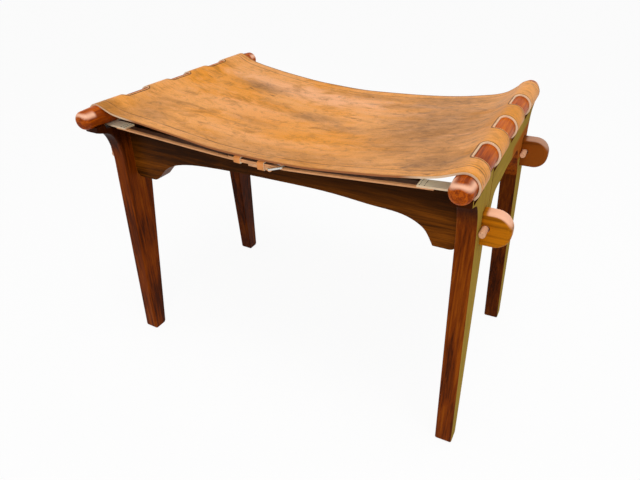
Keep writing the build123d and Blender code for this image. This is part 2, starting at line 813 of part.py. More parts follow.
def prong(y):
    """Prong, hung on the heel bar and lying on the toe bar."""
    toe_x, toe_z = toe_place(y)
    start = Vector(heel_x, y, heel_z(y) + bar_radius + bar_clearance)
    run, rise = toe_x - start.X, toe_z - start.Z
    # The shank touches the top of the toe bar and ends just past it
    angle = atan2(rise, run) + asin((bar_radius + prong_radius + bar_clearance) / hypot(run, rise))
    with BuildPart() as piece:
        with BuildSketch(Plane(start, z_dir=(cos(angle), 0, sin(angle)))):
            Circle(prong_radius)
        extrude(amount=(run + bar_radius) / cos(angle))
        fillet(piece.edges().sort_by(Axis.X)[-1], prong_radius / 2)
        with BuildSketch(Plane((heel_x, y - prong_width / 2, heel_z(y)), z_dir=(0, 1, 0))):
            Circle(bar_radius + bar_clearance + prong_ring_wall)
        extrude(amount=prong_width)
        with BuildSketch(Plane((heel_x, y - prong_width, heel_z(y)), z_dir=(0, 1, 0))):
            Circle(bar_radius + bar_clearance)
        extrude(amount=2 * prong_width, mode=Mode.SUBTRACT)
    return piece


def keeper(x, y, layers_below):
    """Leather loop round the stack of straps: so many layers lie under the belt's line."""
    slope = belt_slope(x, y)
    stack_top = tail_climb() + keeper_clearance
    stack_low = -layers_below * (strap_thickness + strap_gap) - keeper_clearance
    middle = (stack_top + stack_low) / 2
    height = stack_top - stack_low
    width = strap_width + 2 * keeper_clearance
    plane = Plane(
        origin=(x, y, belt_top_z(x, y) + middle),
        x_dir=(0, 1, 0),
        z_dir=(cos(slope), 0, sin(slope)),
    )
    with BuildPart() as piece:
        with BuildSketch(plane.offset(-keeper_width / 2)):
            RectangleRounded(width + 2 * keeper_wall, height + 2 * keeper_wall, keeper_wall)
            Rectangle(width, height, mode=Mode.SUBTRACT)
        extrude(amount=keeper_width)
    return piece


for name, y in zip(belt_names, belt_ys()):
    finish(buckle_strap(y), f"buckle_strap_{name}")
    finish(tail_strap(y), f"tail_strap_{name}")
    finish(buckle(y), f"buckle_{name}")
    finish(prong(y), f"prong_{name}")
    finish(keeper(inner_keeper_x, y, 2), f"keeper_inner_{name}")
    finish(keeper(outer_keeper_x, y, 1), f"keeper_outer_{name}")
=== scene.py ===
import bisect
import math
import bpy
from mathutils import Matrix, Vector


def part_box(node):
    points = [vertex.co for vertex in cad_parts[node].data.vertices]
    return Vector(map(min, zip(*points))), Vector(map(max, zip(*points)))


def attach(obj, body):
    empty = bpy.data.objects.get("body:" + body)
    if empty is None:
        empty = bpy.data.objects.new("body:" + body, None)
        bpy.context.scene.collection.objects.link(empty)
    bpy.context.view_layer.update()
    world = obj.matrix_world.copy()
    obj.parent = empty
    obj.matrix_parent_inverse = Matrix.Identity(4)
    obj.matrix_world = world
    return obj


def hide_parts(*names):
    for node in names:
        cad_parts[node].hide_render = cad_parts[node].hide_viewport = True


bl_info = {
    "name": "Sling Stool",
    "version": (1, 0, 0),
    "blender": (4, 5, 0),
    "location": "View3D > Sidebar > Stool",
    "description": "Dresses the frame of a knock-down stool: leather sling, belts, wood and a plain stage",
    "category": "Object",
}

import bmesh
import bpy
from mathutils import Matrix, Vector, noise

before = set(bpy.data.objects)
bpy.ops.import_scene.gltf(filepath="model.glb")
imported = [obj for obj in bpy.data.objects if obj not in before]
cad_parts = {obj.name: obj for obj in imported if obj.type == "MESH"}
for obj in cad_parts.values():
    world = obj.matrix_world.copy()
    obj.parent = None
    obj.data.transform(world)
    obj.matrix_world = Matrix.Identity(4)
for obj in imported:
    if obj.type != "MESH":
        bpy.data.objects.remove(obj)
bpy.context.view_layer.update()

MM = 0.001
SIDES = {"left": -1, "right": 1}
ENDS = ("front", "rear")
BELTS = ("front", "mid_front", "mid_rear", "rear")
STOOL = "stool"
X_AXIS = Vector((1, 0, 0))
Y_AXIS = Vector((0, 1, 0))


# Properties

# The curve by which a screen shows its colours
SCREEN_STEPS = 255
SCREEN_OFFSET = 0.055
SCREEN_GAMMA = 2.4


def size(name, description, millimetres):
    """A length that a user may change, given in millimetres."""
    return bpy.props.FloatProperty(
        name=name, description=description, default=millimetres * MM, unit="LENGTH"
    )


def location(name, description, x, y, z):
    """A place that a user may change, given in metres."""
    return bpy.props.FloatVectorProperty(
        name=name, description=description, default=(x, y, z), size=3, subtype="TRANSLATION", unit="LENGTH"
    )


def angle(name, description, turn):
    """An angle that a user may change, given in degrees."""
    return bpy.props.FloatProperty(
        name=name, description=description, default=math.radians(turn), unit="ROTATION"
    )


def share(name, description, value):
    """A share that a user may change."""
    return bpy.props.FloatProperty(name=name, description=description, default=value, subtype="FACTOR")


def measure(name, description, value, unit):
    """A measure of another kind that a user may change."""
    return bpy.props.FloatProperty(name=name, description=description, default=value, unit=unit)


def paint(name, description, red, green, blue):
    """A colour that a user may change, given as it looks on a screen."""
    screen = [tone / SCREEN_STEPS for tone in (red, green, blue)]
    linear = [((tone + SCREEN_OFFSET) / (1 + SCREEN_OFFSET)) ** SCREEN_GAMMA for tone in screen]
    return bpy.props.FloatVectorProperty(
        name=name, description=description, default=linear, size=3, min=0, max=1, subtype="COLOR"
    )


class SlingSizes(bpy.types.PropertyGroup):
    """Sizes of the leather sling."""

    hide: size("Hide", "Thickness of the seat leather", 2.6)
    clearance: size("Clearance", "Room between the leather and the rails", 0.3)
    tilt: angle("Tilt", "Slope at which the seat meets the rails", 19)
    front_sag: size("Front sag", "How far the front edge hangs", 35.2)
    rear_sag: size("Rear sag", "How far the rear edge hangs", 39.7)
    dish: size("Dish", "How much lower the middle hangs than the long edges", 10)
    front_waist: size("Front waist", "How far the front edge is drawn in at the middle", 6)
    rear_waist: size("Rear waist", "How far the rear edge is drawn in at the middle", 12)
    front_left: size("Front left inset", "Leather's distance from the front end of the left rail", 35)
    front_right: size("Front right inset", "Leather's distance from the front end of the right rail", 22)
    rear_left: size("Rear left inset", "Leather's distance from the rear end of the left rail", 35)
    rear_right: size("Rear right inset", "Leather's distance from the rear end of the right rail", 29)
    window: size("Window", "Width of the windows over the rails", 54)
    window_depth: size("Window depth", "How far the windows reach into the seat", 1)
    window_round: size("Window corners", "Radius of the window corners", 8)
    flap: size("Flap", "Width of the flaps that return under the rails", 20)
    flap_end_left: size("Left flap end", "Distance of the left flaps' ends from the middle", 243)
    flap_end_right: size("Right flap end", "Distance of the right flaps' ends from the middle", 223)
    flap_slope: angle("Flap slope", "Slope of the flaps under the rails", 3.2)
    cell: size("Cell", "Size of the mesh's faces", 3)
    edge_round: size("Edge round", "Softening of the cut edges", 0.7)
    ripple: size("Ripple", "Height of the waves along the long edges", 1.1)


class BeltSizes(bpy.types.PropertyGroup):
    """Sizes of the four belts under the seat."""

    strap: size("Strap", "Thickness of the straps", 2.5)
    width: size("Width", "Width of the straps", 16)
    gap: size("Gap", "Room between layers of strap", 0.2)
    lap: size("Lap", "How far a strap lies under its flap", 20)
    drop: size("Drop", "How far the middle of a belt lies under the seat", 10)
    ease: share("Ease", "Softness of the bend at the middle of a belt", 0.2)
    heel: size("Heel", "Place of the buckle's heel bar, right of the middle", 16)
    reach: size("Reach", "Distance between the bars of a buckle", 22)
    bar: size("Bar", "Radius of the buckle's wire", 1.5)
    bar_clearance: size("Bar clearance", "Room between the bar and the leather round it", 0.1)
    fold_close: size("Fold closes", "Distance from the bar at which the fold is shut", 6.5)
    fold_return: size("Fold return", "How far the folded strap runs back", 34)
    tail_end: size("Tail end", "Place of the tail's tip, left of the middle", 54)
    tail_round: size("Tail round", "Radius of the tail's corners", 6.5)
    slot: size("Prong slot", "Width of the slot for the prong", 4)
    keeper_wall: size("Keeper wall", "Thickness of the keepers", 1.8)
    keeper_width: size("Keeper width", "Width of the keepers", 11)
    keeper_clearance: size("Keeper clearance", "Room between the keepers and the straps", 0.3)
    inner_keeper: size("Inner keeper", "Place of the inner keeper, right of the middle", 3.5)
    outer_keeper: size("Outer keeper", "Place of the outer keeper, left of the middle", 35.5)
    stitch: size("Stitch", "Length of a stitch", 2)
    thread: size("Thread", "Thickness of the thread", 1)


class StoolColours(bpy.types.PropertyGroup):
    """Colours of the leather, wood and metal."""

    hide_tan: paint("Hide tan", "Main colour of the seat", 246, 168, 88)
    hide_amber: paint("Hide amber", "Warm patches of the seat", 240, 152, 34)
    # Paler patches of the hide, and the painted sheen along the rear of the seat
    hide_pink: paint("Hide pink", "Rubbed, paler patches of the seat", 255, 184, 128)
    # Worn and soiled patches, and the painted shade along the front edge of the seat
    hide_smoke: paint("Hide smoke", "Worn and soiled patches of the seat", 112, 72, 30)
    hide_dark: paint("Hide dark", "Creases, grooves and scratches", 74, 42, 22)
    rim: paint("Rim", "Burnished cut edges along the long sides", 168, 104, 62)
    flesh: paint("Flesh side", "Underside of the hide and the flaps", 255, 246, 224)
    cut: paint("Cut edge", "Cut edges round the windows", 252, 232, 200)
    # The grain side of the straps is dark with painted shade from the seat above them
    strap: paint("Strap", "Dark grain side of the straps", 84, 50, 32)
    # Pale cut edges of the straps, which also give the painted light on their front halves
    strap_cut_and_light: paint("Strap edge", "Pale cut edges of the straps", 246, 178, 124)
    keeper: paint("Keeper", "Leather of the keepers", 255, 166, 92)
    thread: paint("Thread", "Sewing thread", 30, 22, 18)
    wood_deep: paint("Wood, deep", "Darkest lines of the legs", 70, 26, 2)
    wood_mid: paint("Wood, middle", "Body of the legs", 120, 50, 3)
    wood_bright: paint("Wood, bright", "Lightest streaks of the legs", 152, 74, 8)
    rail_deep: paint("Rail, deep", "Darkest lines of the rails", 136, 54, 4)
    rail_mid: paint("Rail, middle", "Body of the rails", 190, 86, 6)
    rail_bright: paint("Rail, bright", "Lightest streaks of the rails", 218, 116, 16)
    apron_deep: paint("Apron, deep", "Darkest lines of the aprons", 62, 30, 2)
    apron_mid: paint("Apron, middle", "Body of the aprons", 106, 54, 6)
    apron_bright: paint("Apron, bright", "Lightest streaks of the aprons", 142, 76, 12)
    front_paddle: paint("Front paddles", "Golden ends of the front apron", 204, 120, 10)
    rear_paddle: paint("Rear paddles", "Ends of the rear apron", 142, 72, 16)
    # Painted highlight on the tops of the paddles and the tips of the rails
    painted_light: paint("Rubbed wood", "Tops of the paddles and tips of the rails, rubbed pale", 255, 194, 160)
    # Painted reflection of greenery on the outer faces of the end frames
    olive_reflection: paint("Outer faces", "Weathered outer faces of the end frames", 182, 148, 58)
    # Painted reflection of the rear tenons on the outer faces beside them
    tenon_reflection: paint("Faces by the rear tenons", "Golden brown faces round the rear tenons", 172, 92, 24)
    peg: paint("Peg", "Bare wood of the pegs", 236, 178, 138)
    steel: paint("Steel", "Buckles", 222, 220, 214)
    floor: paint("Floor", "Floor of the stage", 250, 250, 250)


class StageSizes(bpy.types.PropertyGroup):
    """Camera, lamps and floor."""

    eye: location("Eye", "Place of the camera", 0.38733, -0.72004, 0.68455)
    yaw: angle("Yaw", "How far the camera turns to the left", 28.64)
    pitch: angle("Pitch", "How far the camera looks down", 31.42)
    roll: angle("Roll", "How far the camera leans", -1.44)
    lens: measure("Lens", "Focal length of the camera", 29.358, "CAMERA")
    sensor: measure("Sensor", "Width of the camera's sensor", 36, "CAMERA")
    floor: size("Floor", "Width of the floor", 12000)
    floor_seen: share("Floor seen", "How much of the floor is seen as plain white, lit or not", 0.93)
    lit: location("Lit place", "Place that the lamps face", 0, 0, 0.4)
    key: location("Key place", "Place of the lamp overhead", 0.5, -0.5, 2.4)
    key_width: size("Key width", "Width of the lamp overhead", 1100)
    key_power: measure("Key power", "Power of the lamp overhead", 23, "POWER")
    fill: location("Fill place", "Place of the lamp in front", 0.7, -2.3, 1.2)
    fill_width: size("Fill width", "Width of the lamp in front", 900)
    fill_power: measure("Fill power", "Power of the lamp in front", 8, "POWER")
    sky: share("Sky", "Strength of the light from all round", 0.42)


GROUPS = {
    "stool_sling": SlingSizes,
    "stool_belts": BeltSizes,
    "stool_colours": StoolColours,
    "stool_stage": StageSizes,
}


# Places that the frame gives

def rail_place(side_name):
    """Middle of a rail in the XZ plane, and its radius."""
    low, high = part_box(f"rail_{side_name}")
    return (low.x + high.x) / 2, (low.z + high.z) / 2, (high.x - low.x) / 2


def rail_end():
    """Distance of the rails' ends from the middle of the stool."""
    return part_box("rail_right")[1].y


def belt_middle(name):
    """Place of a belt along Y."""
    low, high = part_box(f"tail_strap_{name}")
    return (low.y + high.y) / 2


# Middles of the windows, from front to rear, as shares of the rails' half length
WINDOW_MIDDLE_SHARES = {"left": (-0.478, -0.013, 0.447), "right": (-0.584, -0.108, 0.376)}
# How the long edges hang: shares of the way from the middle to a rail, and of the sag at each
SAG_PLACE_SHARES = (-1.0, -0.9, -0.7, -0.45, -0.2, 0.05, 0.3, 0.55, 0.75, 0.9, 1.0)
SAG_SHARES = {
    "front": (0.0, 0.31, 0.49, 0.73, 0.94, 1.0, 0.95, 0.745, 0.53, 0.3, 0.0),
    "rear": (0.0, 0.3, 0.56, 0.8, 0.95, 1.0, 0.985, 0.92, 0.76, 0.52, 0.0),
}


def window_middles(side_name):
    """Middles of the windows over a rail, along Y."""
    return [middle * rail_end() for middle in WINDOW_MIDDLE_SHARES[side_name]]


# Shader helpers

# Places of the amount, the two colours and the result on a mix node
MIX_INPUTS = (0, 6, 7)
MIX_RESULT = 2


def add_node(tree, kind, inputs=None, **settings):
    """Add a shader node. Its inputs are values or the output sockets of other nodes."""
    made = tree.nodes.new(kind)
    for name, value in settings.items():
        setattr(made, name, value)
    for key, value in (inputs or {}).items():
        if isinstance(value, bpy.types.NodeSocket):
            tree.links.new(value, made.inputs[key])
        else:
            made.inputs[key].default_value = value
    return made


def math_node(tree, operation, *values, clamp=False):
    """Result of one sum on values or sockets."""
    made = add_node(tree, "ShaderNodeMath", dict(enumerate(values)), operation=operation, use_clamp=clamp)
    return made.outputs[0]


def times(tree, *levels):
    """Product of values or sockets."""
    total = levels[0]
    for level in levels[1:]:
        total = math_node(tree, "MULTIPLY", total, level)
    return total


def between(tree, level, low, high):
    """A level from 0 to 1, spread between two values."""
    return math_node(tree, "MULTIPLY_ADD", level, high - low, low)


def mix_colour(tree, amount, first, second):
    """Mix of two colours, which are sockets or values."""
    inputs = dict(zip(MIX_INPUTS, (amount, first, second)))
    return add_node(tree, "ShaderNodeMix", inputs, data_type="RGBA").outputs[MIX_RESULT]


def ramp(tree, value, low, high):
    """Rise softly from 0 to 1 between two levels of a value, or fall if the first is the higher."""
    made = add_node(
        tree, "ShaderNodeMapRange", {"Value": value, "From Min": low, "From Max": high},
        interpolation_type="SMOOTHSTEP",
    )
    return made.outputs["Result"]


def soft_line(tree, distance, inset, core, fade):
    """A line at a distance from an edge: full up to one half width, and gone at another."""
    away = math_node(tree, "ABSOLUTE", math_node(tree, "SUBTRACT", distance, inset))
    return ramp(tree, away, fade, core)


def texture_noise(
    tree, place, scale, detail=4.0, roughness=0.55, distortion=0.0, stretch=(1, 1, 1), shift=(0, 0, 0)
):
    """Noise in the material's own coordinates, stretched along its axes."""
    mapped = add_node(tree, "ShaderNodeMapping", {"Vector": place, "Scale": stretch, "Location": shift})
    made = add_node(
        tree, "ShaderNodeTexNoise",
        {
            "Vector": mapped.outputs[0], "Scale": scale, "Detail": detail,
            "Roughness": roughness, "Distortion": distortion,
        },
    )
    return made.outputs["Fac"]


def noises(tree, place, kinds):
    """The noises of a table, by name."""
    return {kind: texture_noise(tree, place, **settings) for kind, settings in kinds.items()}


def axis_of(tree, vector, axis):
    """One axis of a place or a direction."""
    return add_node(tree, "ShaderNodeSeparateXYZ", {"Vector": vector}).outputs[axis]


def object_place(tree):
    """Place on the stool at rest."""
    return add_node(tree, "ShaderNodeTexCoord").outputs["Object"]


def flat_place(tree):
    """Place on the flat pattern that a piece of leather was cut from."""
    return add_node(tree, "ShaderNodeUVMap", uv_map="pattern").outputs[0]


def kept_level(tree, name):
    """A level that the mesh keeps at its vertices."""
    return add_node(tree, "ShaderNodeAttribute", attribute_name=name).outputs["Fac"]


def opaque(colour):
    """A property's colour with an alpha of 1."""
    return (*colour, 1.0)


def toned(colour, part):
    """A part of a colour, which is darker, or lighter where the part is over 1."""
    return [tone * part for tone in colour]


def new_material(name, **surface):
    """A material with one principled shader. Its plain values are set on its own sockets."""
    material = bpy.data.materials.new(name)
    material.use_nodes = True
    tree = material.node_tree
    shader = tree.nodes["Principled BSDF"]
    for key, value in surface.items():
        shader.inputs[key.replace("_", " ")].default_value = value
    return material, tree, shader


def finish_surface(tree, shader, colour, rough=None, relief=None, strength=0.0, depth=0.0):
    """Give a shader its colour, its roughness where that varies, and its relief where it has one."""
    tree.links.new(colour, shader.inputs["Base Color"])
    if rough is not None:
        tree.links.new(rough, shader.inputs["Roughness"])
    if relief is not None:
        bump = add_node(tree, "ShaderNodeBump", {"Height": relief, "Strength": strength, "Distance": depth})
        tree.links.new(bump.outputs["Normal"], shader.inputs["Normal"])


# Seat leather

# Noises of the grain side. They are stretched along the hide and across it
SEAT_NOISES = {
    "broad": dict(scale=8, detail=4, distortion=0.8, stretch=(0.6, 1.3, 1)),
    "cloud": dict(scale=22, detail=7, roughness=0.7, distortion=0.7, stretch=(0.7, 1.3, 1)),
    "mottle": dict(scale=62, detail=8, roughness=0.72, distortion=0.7, stretch=(0.8, 1.2, 1)),
    "streak": dict(scale=34, detail=7, roughness=0.72, distortion=0.3, stretch=(0.13, 2.0, 1)),
    "pale": dict(scale=30, detail=6, roughness=0.7, stretch=(0.2, 2.4, 1), shift=(0.5, 0.3, 0)),
    "pores": dict(scale=520, detail=3, roughness=0.7),
    "scratch": dict(
        scale=80, detail=4, roughness=0.6, distortion=1.2, stretch=(0.2, 1.4, 1), shift=(0.2, 0.9, 0)
    ),
    "waver": dict(scale=5, detail=2, shift=(0.7, 0.2, 0)),
    "ragged": dict(scale=260, detail=2),
    "grain": dict(scale=420, detail=3),
}
# Marks that a noise leaves: the noise, the levels between which the mark rises, its strength and its colour
MARKS_UNDER_PATCHES = (
    ("broad", 0.4, 0.66, 1.0, "hide_amber"),
    ("mottle", 0.5, 0.3, 0.4, "hide_pink"),
)
MARKS_OVER_PATCHES = (
    ("cloud", 0.48, 0.68, 0.4, "hide_smoke"),
    ("mottle", 0.5, 0.7, 0.4, "hide_smoke"),
    ("streak", 0.54, 0.72, 0.42, "hide_dark"),
    ("pale", 0.55, 0.75, 0.4, "hide_pink"),
    ("pores", 0.5, 0.72, 0.28, "hide_dark"),
    ("scratch", 0.66, 0.7, 0.6, "hide_dark"),
)
# Patches of each colour: how strong they all are, then the place, the reach and the strength of each, in
# millimetres on the hide from the middle of the seat
SEAT_PATCHES = {
    "hide_amber": (0.9, (
        (-75, -40, 60, 34, 1.0), (20, -70, 120, 24, 0.7), (-190, 60, 60, 26, 0.6), (60, -130, 110, 20, 0.6),
        (290, 20, 34, 120, 1.0),
    )),
    # The first of these patches, wide along the rear, is a painted sheen. The others are paler hide
    "hide_pink": (1.0, (
        (-60, 112, 200, 36, 1.0), (90, 76, 90, 16, 0.5), (-120, -20, 90, 50, 0.35),
        (-30, -120, 120, 18, 0.3),
    )),
    # The wide, faint patch at 40, -165 along the front edge is painted shade. The others are soil
    "hide_smoke": (0.95, (
        (-165, 84, 60, 24, 0.7), (-20, 14, 60, 24, 0.6), (60, -20, 60, 22, 0.4), (190, 40, 60, 90, 0.65),
        (225, -110, 40, 60, 0.55), (120, 120, 70, 20, 0.5), (-215, -150, 46, 26, 0.55),
        (-90, -60, 50, 16, 0.35), (40, 150, 120, 14, 0.45), (150, -60, 60, 20, 0.35),
        (190, 0, 110, 190, 0.7), (235, -150, 60, 50, 0.8), (-235, -130, 40, 60, 0.4),
        (-268, -176, 70, 22, 0.6), (40, -165, 220, 40, 0.42), (170, 150, 100, 30, 0.7),
    )),
}
# Shares of a patch's reach: where it starts to fade, where it is gone, and how far its border wanders
PATCH_CORE = 0.2
PATCH_END = 1.25
PATCH_WANDER = 1.1
# Lines along the cut edges. A line has the half widths at which it starts to fade and is gone
CREASE_INSET = 22 * MM
CREASE_WAVER = 6 * MM
CREASE_WIDTHS = (0.2 * MM, 1.5 * MM)
GROOVE_INSET = 2.8 * MM
GROOVE_WIDTHS = (0.4 * MM, 1.3 * MM)
WINDOW_RAGGED = 1.2 * MM
CREASE_STRENGTH = 0.7
GROOVE_STRENGTH = 0.9
# Distances from an edge at which its border colour is gone and full
GRIME_REACH = (5 * MM, 0.6 * MM)
LIP_REACH = (1.2 * MM, 0.4 * MM)
RIM_REACH = (1.6 * MM, 0.8 * MM)
# Distances from the middle of the stool at which the burnish of the long edges is gone and full
BURNISH_REACH = (235 * MM, 205 * MM)
# How much of the relief is grain and how much is streaks, and how speckled a cut edge is
GRAIN_RELIEF = 0.25
STREAK_RELIEF = 0.6
CUT_SPECKLE = 0.4


def patches(tree, place, wander, spots):
    """Soft oval patches with ragged borders, as one level from 0 to 1."""
    total = 0.0
    for x, y, reach_x, reach_y, strength in spots:
        shifted = add_node(
            tree, "ShaderNodeMapping",
            {
                "Vector": place, "Location": (-x / reach_x, -y / reach_y, 0),
                "Scale": (1 / (reach_x * MM), 1 / (reach_y * MM), 0),
            },
        ).outputs[0]
        away = add_node(tree, "ShaderNodeVectorMath", {0: shifted}, operation="LENGTH").outputs["Value"]
        away = math_node(tree, "ADD", away, wander)
        level = times(tree, ramp(tree, away, PATCH_END, PATCH_CORE), strength)
        total = math_node(tree, "MAXIMUM", total, level)
    return total


def seat_material(middle_u):
    """Grain side of the seat: worn tan leather with patches, streaks, creases and grooved windows, with a
    painted sheen along the rear and painted shade along the front edge.
    """
    colours = bpy.context.scene.stool_colours
    material, tree, shader = new_material("seat_grain", Specular_IOR_Level=0.12)
    centred = {"Vector": flat_place(tree), "Location": (-middle_u, 0, 0)}
    pattern = add_node(tree, "ShaderNodeMapping", centred).outputs[0]
    levels = noises(tree, pattern, SEAT_NOISES)
    colour = opaque(colours.hide_tan)

    def tint(level, strength, tone):
        """The colour so far, with another laid over it."""
        return mix_colour(tree, times(tree, level, strength), colour, opaque(getattr(colours, tone)))

    for kind, low, high, strength, tone in MARKS_UNDER_PATCHES:
        colour = tint(ramp(tree, levels[kind], low, high), strength, tone)
    wander = between(tree, levels["cloud"], -PATCH_WANDER, PATCH_WANDER)
    for tone, (strength, spots) in SEAT_PATCHES.items():
        level = patches(tree, pattern, wander, spots)
        if tone == "hide_smoke":
            # Soil, and the painted shade with it, lies thicker in parts of the grain
            thick = ramp(tree, levels["mottle"], low=0.35, high=0.65)
            level = times(tree, level, between(tree, thick, low=0.65, high=1.0))
        colour = tint(level, strength, tone)
    for kind, low, high, strength, tone in MARKS_OVER_PATCHES:
        colour = tint(ramp(tree, levels[kind], low, high), strength, tone)

    # A crease runs a little way in from the long edges, and grime lies at the very edge, more at the rear
    from_edge = kept_level(tree, "edge_distance")
    wavering = math_node(tree, "MULTIPLY_ADD", levels["waver"], CREASE_WAVER, from_edge)
    crease = soft_line(tree, wavering, CREASE_INSET, *CREASE_WIDTHS)
    crease = times(tree, crease, ramp(tree, levels["cloud"], low=0.3, high=0.55))
    colour = tint(crease, CREASE_STRENGTH, "hide_dark")
    rear = math_node(tree, "GREATER_THAN", axis_of(tree, pattern, "Y"), 0.0)
    grime = times(tree, ramp(tree, from_edge, *GRIME_REACH), between(tree, rear, low=0.25, high=0.7))
    colour = tint(grime, 1.0, "hide_dark")

    # Windows have a pale cut edge inside a dark groove
    from_window = kept_level(tree, "window_distance")
    from_window = math_node(tree, "MULTIPLY_ADD", levels["ragged"], WINDOW_RAGGED, from_window)
    groove = soft_line(tree, from_window, GROOVE_INSET, *GROOVE_WIDTHS)
    colour = tint(groove, GROOVE_STRENGTH, "hide_dark")
    colour = tint(ramp(tree, from_window, *LIP_REACH), 1.0, "cut")

    relief = times(tree, levels["grain"], GRAIN_RELIEF)
    relief = math_node(tree, "MULTIPLY_ADD", levels["streak"], STREAK_RELIEF, relief)
    relief = math_node(tree, "SUBTRACT", relief, math_node(tree, "ADD", crease, groove))
    rough = between(tree, levels["cloud"], low=0.3, high=0.65)
    finish_surface(tree, shader, colour, rough, relief, strength=0.5, depth=0.5 * MM)
    return material


def cut_edge_material():
    """Cut edge of the hide: pale round the windows and near the rails, dark along the long edges."""
    colours = bpy.context.scene.stool_colours
    material, tree, shader = new_material("seat_cut", Roughness=0.7, Specular_IOR_Level=0.15)
    place = object_place(tree)
    fine = texture_noise(tree, place, scale=300, detail=4)
    long_edge = ramp(tree, kept_level(tree, "edge_distance"), *RIM_REACH)
    across = math_node(tree, "ABSOLUTE", axis_of(tree, place, "X"))
    burnish = between(tree, ramp(tree, across, *BURNISH_REACH), low=0.25, high=1.0)
    speckle = times(tree, fine, CUT_SPECKLE)
    colour = mix_colour(tree, speckle, opaque(colours.cut), opaque(colours.hide_tan))
    colour = mix_colour(tree, times(tree, long_edge, burnish), colour, opaque(colours.rim))
    finish_surface(tree, shader, colour, relief=fine, strength=0.3, depth=0.3 * MM)
    return material


# Plain leather

PLAIN_PATCH = dict(scale=60, detail=5)
PLAIN_GRAIN = dict(scale=900, detail=3)
PLAIN_RELIEF = dict(strength=0.35, depth=0.3 * MM)
# The band across a strap in which its half with painted light ends, and how ragged its border is
LIT_BAND_BORDER = (0.5 * MM, -2.5 * MM)
LIT_BAND_RAGGED = 4 * MM
# How far along a strap its painted light takes to set in
LIT_BAND_FADE = 20 * MM
STRAP_SPECKLE = 0.3
# How much paler the twist of the thread is
TWIST_TONE = 2.5


def leather_material(name, colour, speckle, rough):
    """Plain leather with fine grain, for the keepers, the flesh sides and the belts' cut edges."""
    material, tree, shader = new_material(name, Roughness=rough, Specular_IOR_Level=0.2)
    place = object_place(tree)
    patch = texture_noise(tree, place, **PLAIN_PATCH)
    fine = texture_noise(tree, place, **PLAIN_GRAIN)
    dark = opaque(toned(colour, 1 - speckle))
    mixed = mix_colour(tree, ramp(tree, patch, low=0.35, high=0.7), opaque(colour), dark)
    mixed = mix_colour(tree, times(tree, fine, speckle), mixed, dark)
    finish_surface(tree, shader, mixed, relief=fine, **PLAIN_RELIEF)
    return material


def strap_grain_material(name, lit_from):
    """Grain side of a strap: dark with painted shade, and pale with painted light along its front half to
    the right of a place along X.
    """
    colours = bpy.context.scene.stool_colours
    material, tree, shader = new_material(name, Roughness=0.5, Specular_IOR_Level=0.2)
    place = object_place(tree)
    patch = texture_noise(tree, place, **PLAIN_PATCH)
    fine = texture_noise(tree, place, **PLAIN_GRAIN)
    # Painted light on the front half of the strap, painted shade on the rest
    across = axis_of(tree, flat_place(tree), "Y")
    ragged = math_node(tree, "MULTIPLY_ADD", patch, LIT_BAND_RAGGED, across)
    along = ramp(tree, axis_of(tree, place, "X"), lit_from, lit_from + LIT_BAND_FADE)
    painted_light = times(tree, ramp(tree, ragged, *LIT_BAND_BORDER), along)
    colour = mix_colour(tree, painted_light, opaque(colours.strap), opaque(colours.strap_cut_and_light))
    colour = mix_colour(tree, times(tree, fine, STRAP_SPECKLE), colour, opaque(colours.hide_dark))
    finish_surface(tree, shader, colour, relief=fine, **PLAIN_RELIEF)
    return material


def thread_material():
    """Dark waxed thread with a paler twist."""
    colours = bpy.context.scene.stool_colours
    material, tree, shader = new_material("sewing_thread", Roughness=0.8)
    twist = texture_noise(tree, object_place(tree), scale=1500, detail=2)
    pale = opaque(toned(colours.thread, TWIST_TONE))
    finish_surface(tree, shader, mix_colour(tree, twist, opaque(colours.thread), pale))
    return material


# Wood

# Noises of the wood, which are stretched along its grain, and their weights in its tone
WOOD_NOISES = {
    "figure": dict(scale=18, detail=4, roughness=0.5, distortion=1.0, stretch=(0.2, 1, 1)),
    "lines": dict(scale=170, detail=6, roughness=0.75, distortion=0.5, stretch=(0.04, 1, 1)),
    "fibre": dict(scale=620, detail=3, stretch=(0.03, 1, 1)),
}
TONE_WEIGHTS = {"figure": 0.7, "lines": 0.75, "fibre": 0.2}
FIBRE_RELIEF = 0.5
# Turn that lays the grain of a piece along X
GRAIN_TURNS = {"X": (0, 0, 0), "Y": (0, 0, math.radians(90)), "Z": (0, math.radians(90), 0)}
# Distances from the middle between which an apron takes the colour of its ends
TENON_START = (294 * MM, 300 * MM)
# Painted highlights on tops: the length over which they set in, then where each is gone and full, as the
# share that they face upwards and as the level of the figure
HIGHLIGHT_FADE = 5 * MM
HIGHLIGHT_SLOPES = (0.15, 0.55)
HIGHLIGHT_FIGURE = (0.1, 0.4)
# How strong the painted shade under the seat is, and what it leaves of the darkest tone
DUSK_STRENGTH = 0.88
DUSK_SHARE = 0.3
# How far a face has to be turned outwards to take the painted reflection of greenery, and how much rougher
# it then is
OUTWARD = (0.8, 0.97)
OUTER_FACE_ROUGHER = 0.45
# Where the end frames take the gold-brown painted reflection of the rear tenons: from a place along Y, and
# between a low and a high one. Each border runs from where there is no gold to where it is full
TENON_REFLECTION_START = (24 * MM, 48 * MM)
TENON_REFLECTION_LOW = (350 * MM, 360 * MM)
TENON_REFLECTION_HIGH = (404 * MM, 394 * MM)


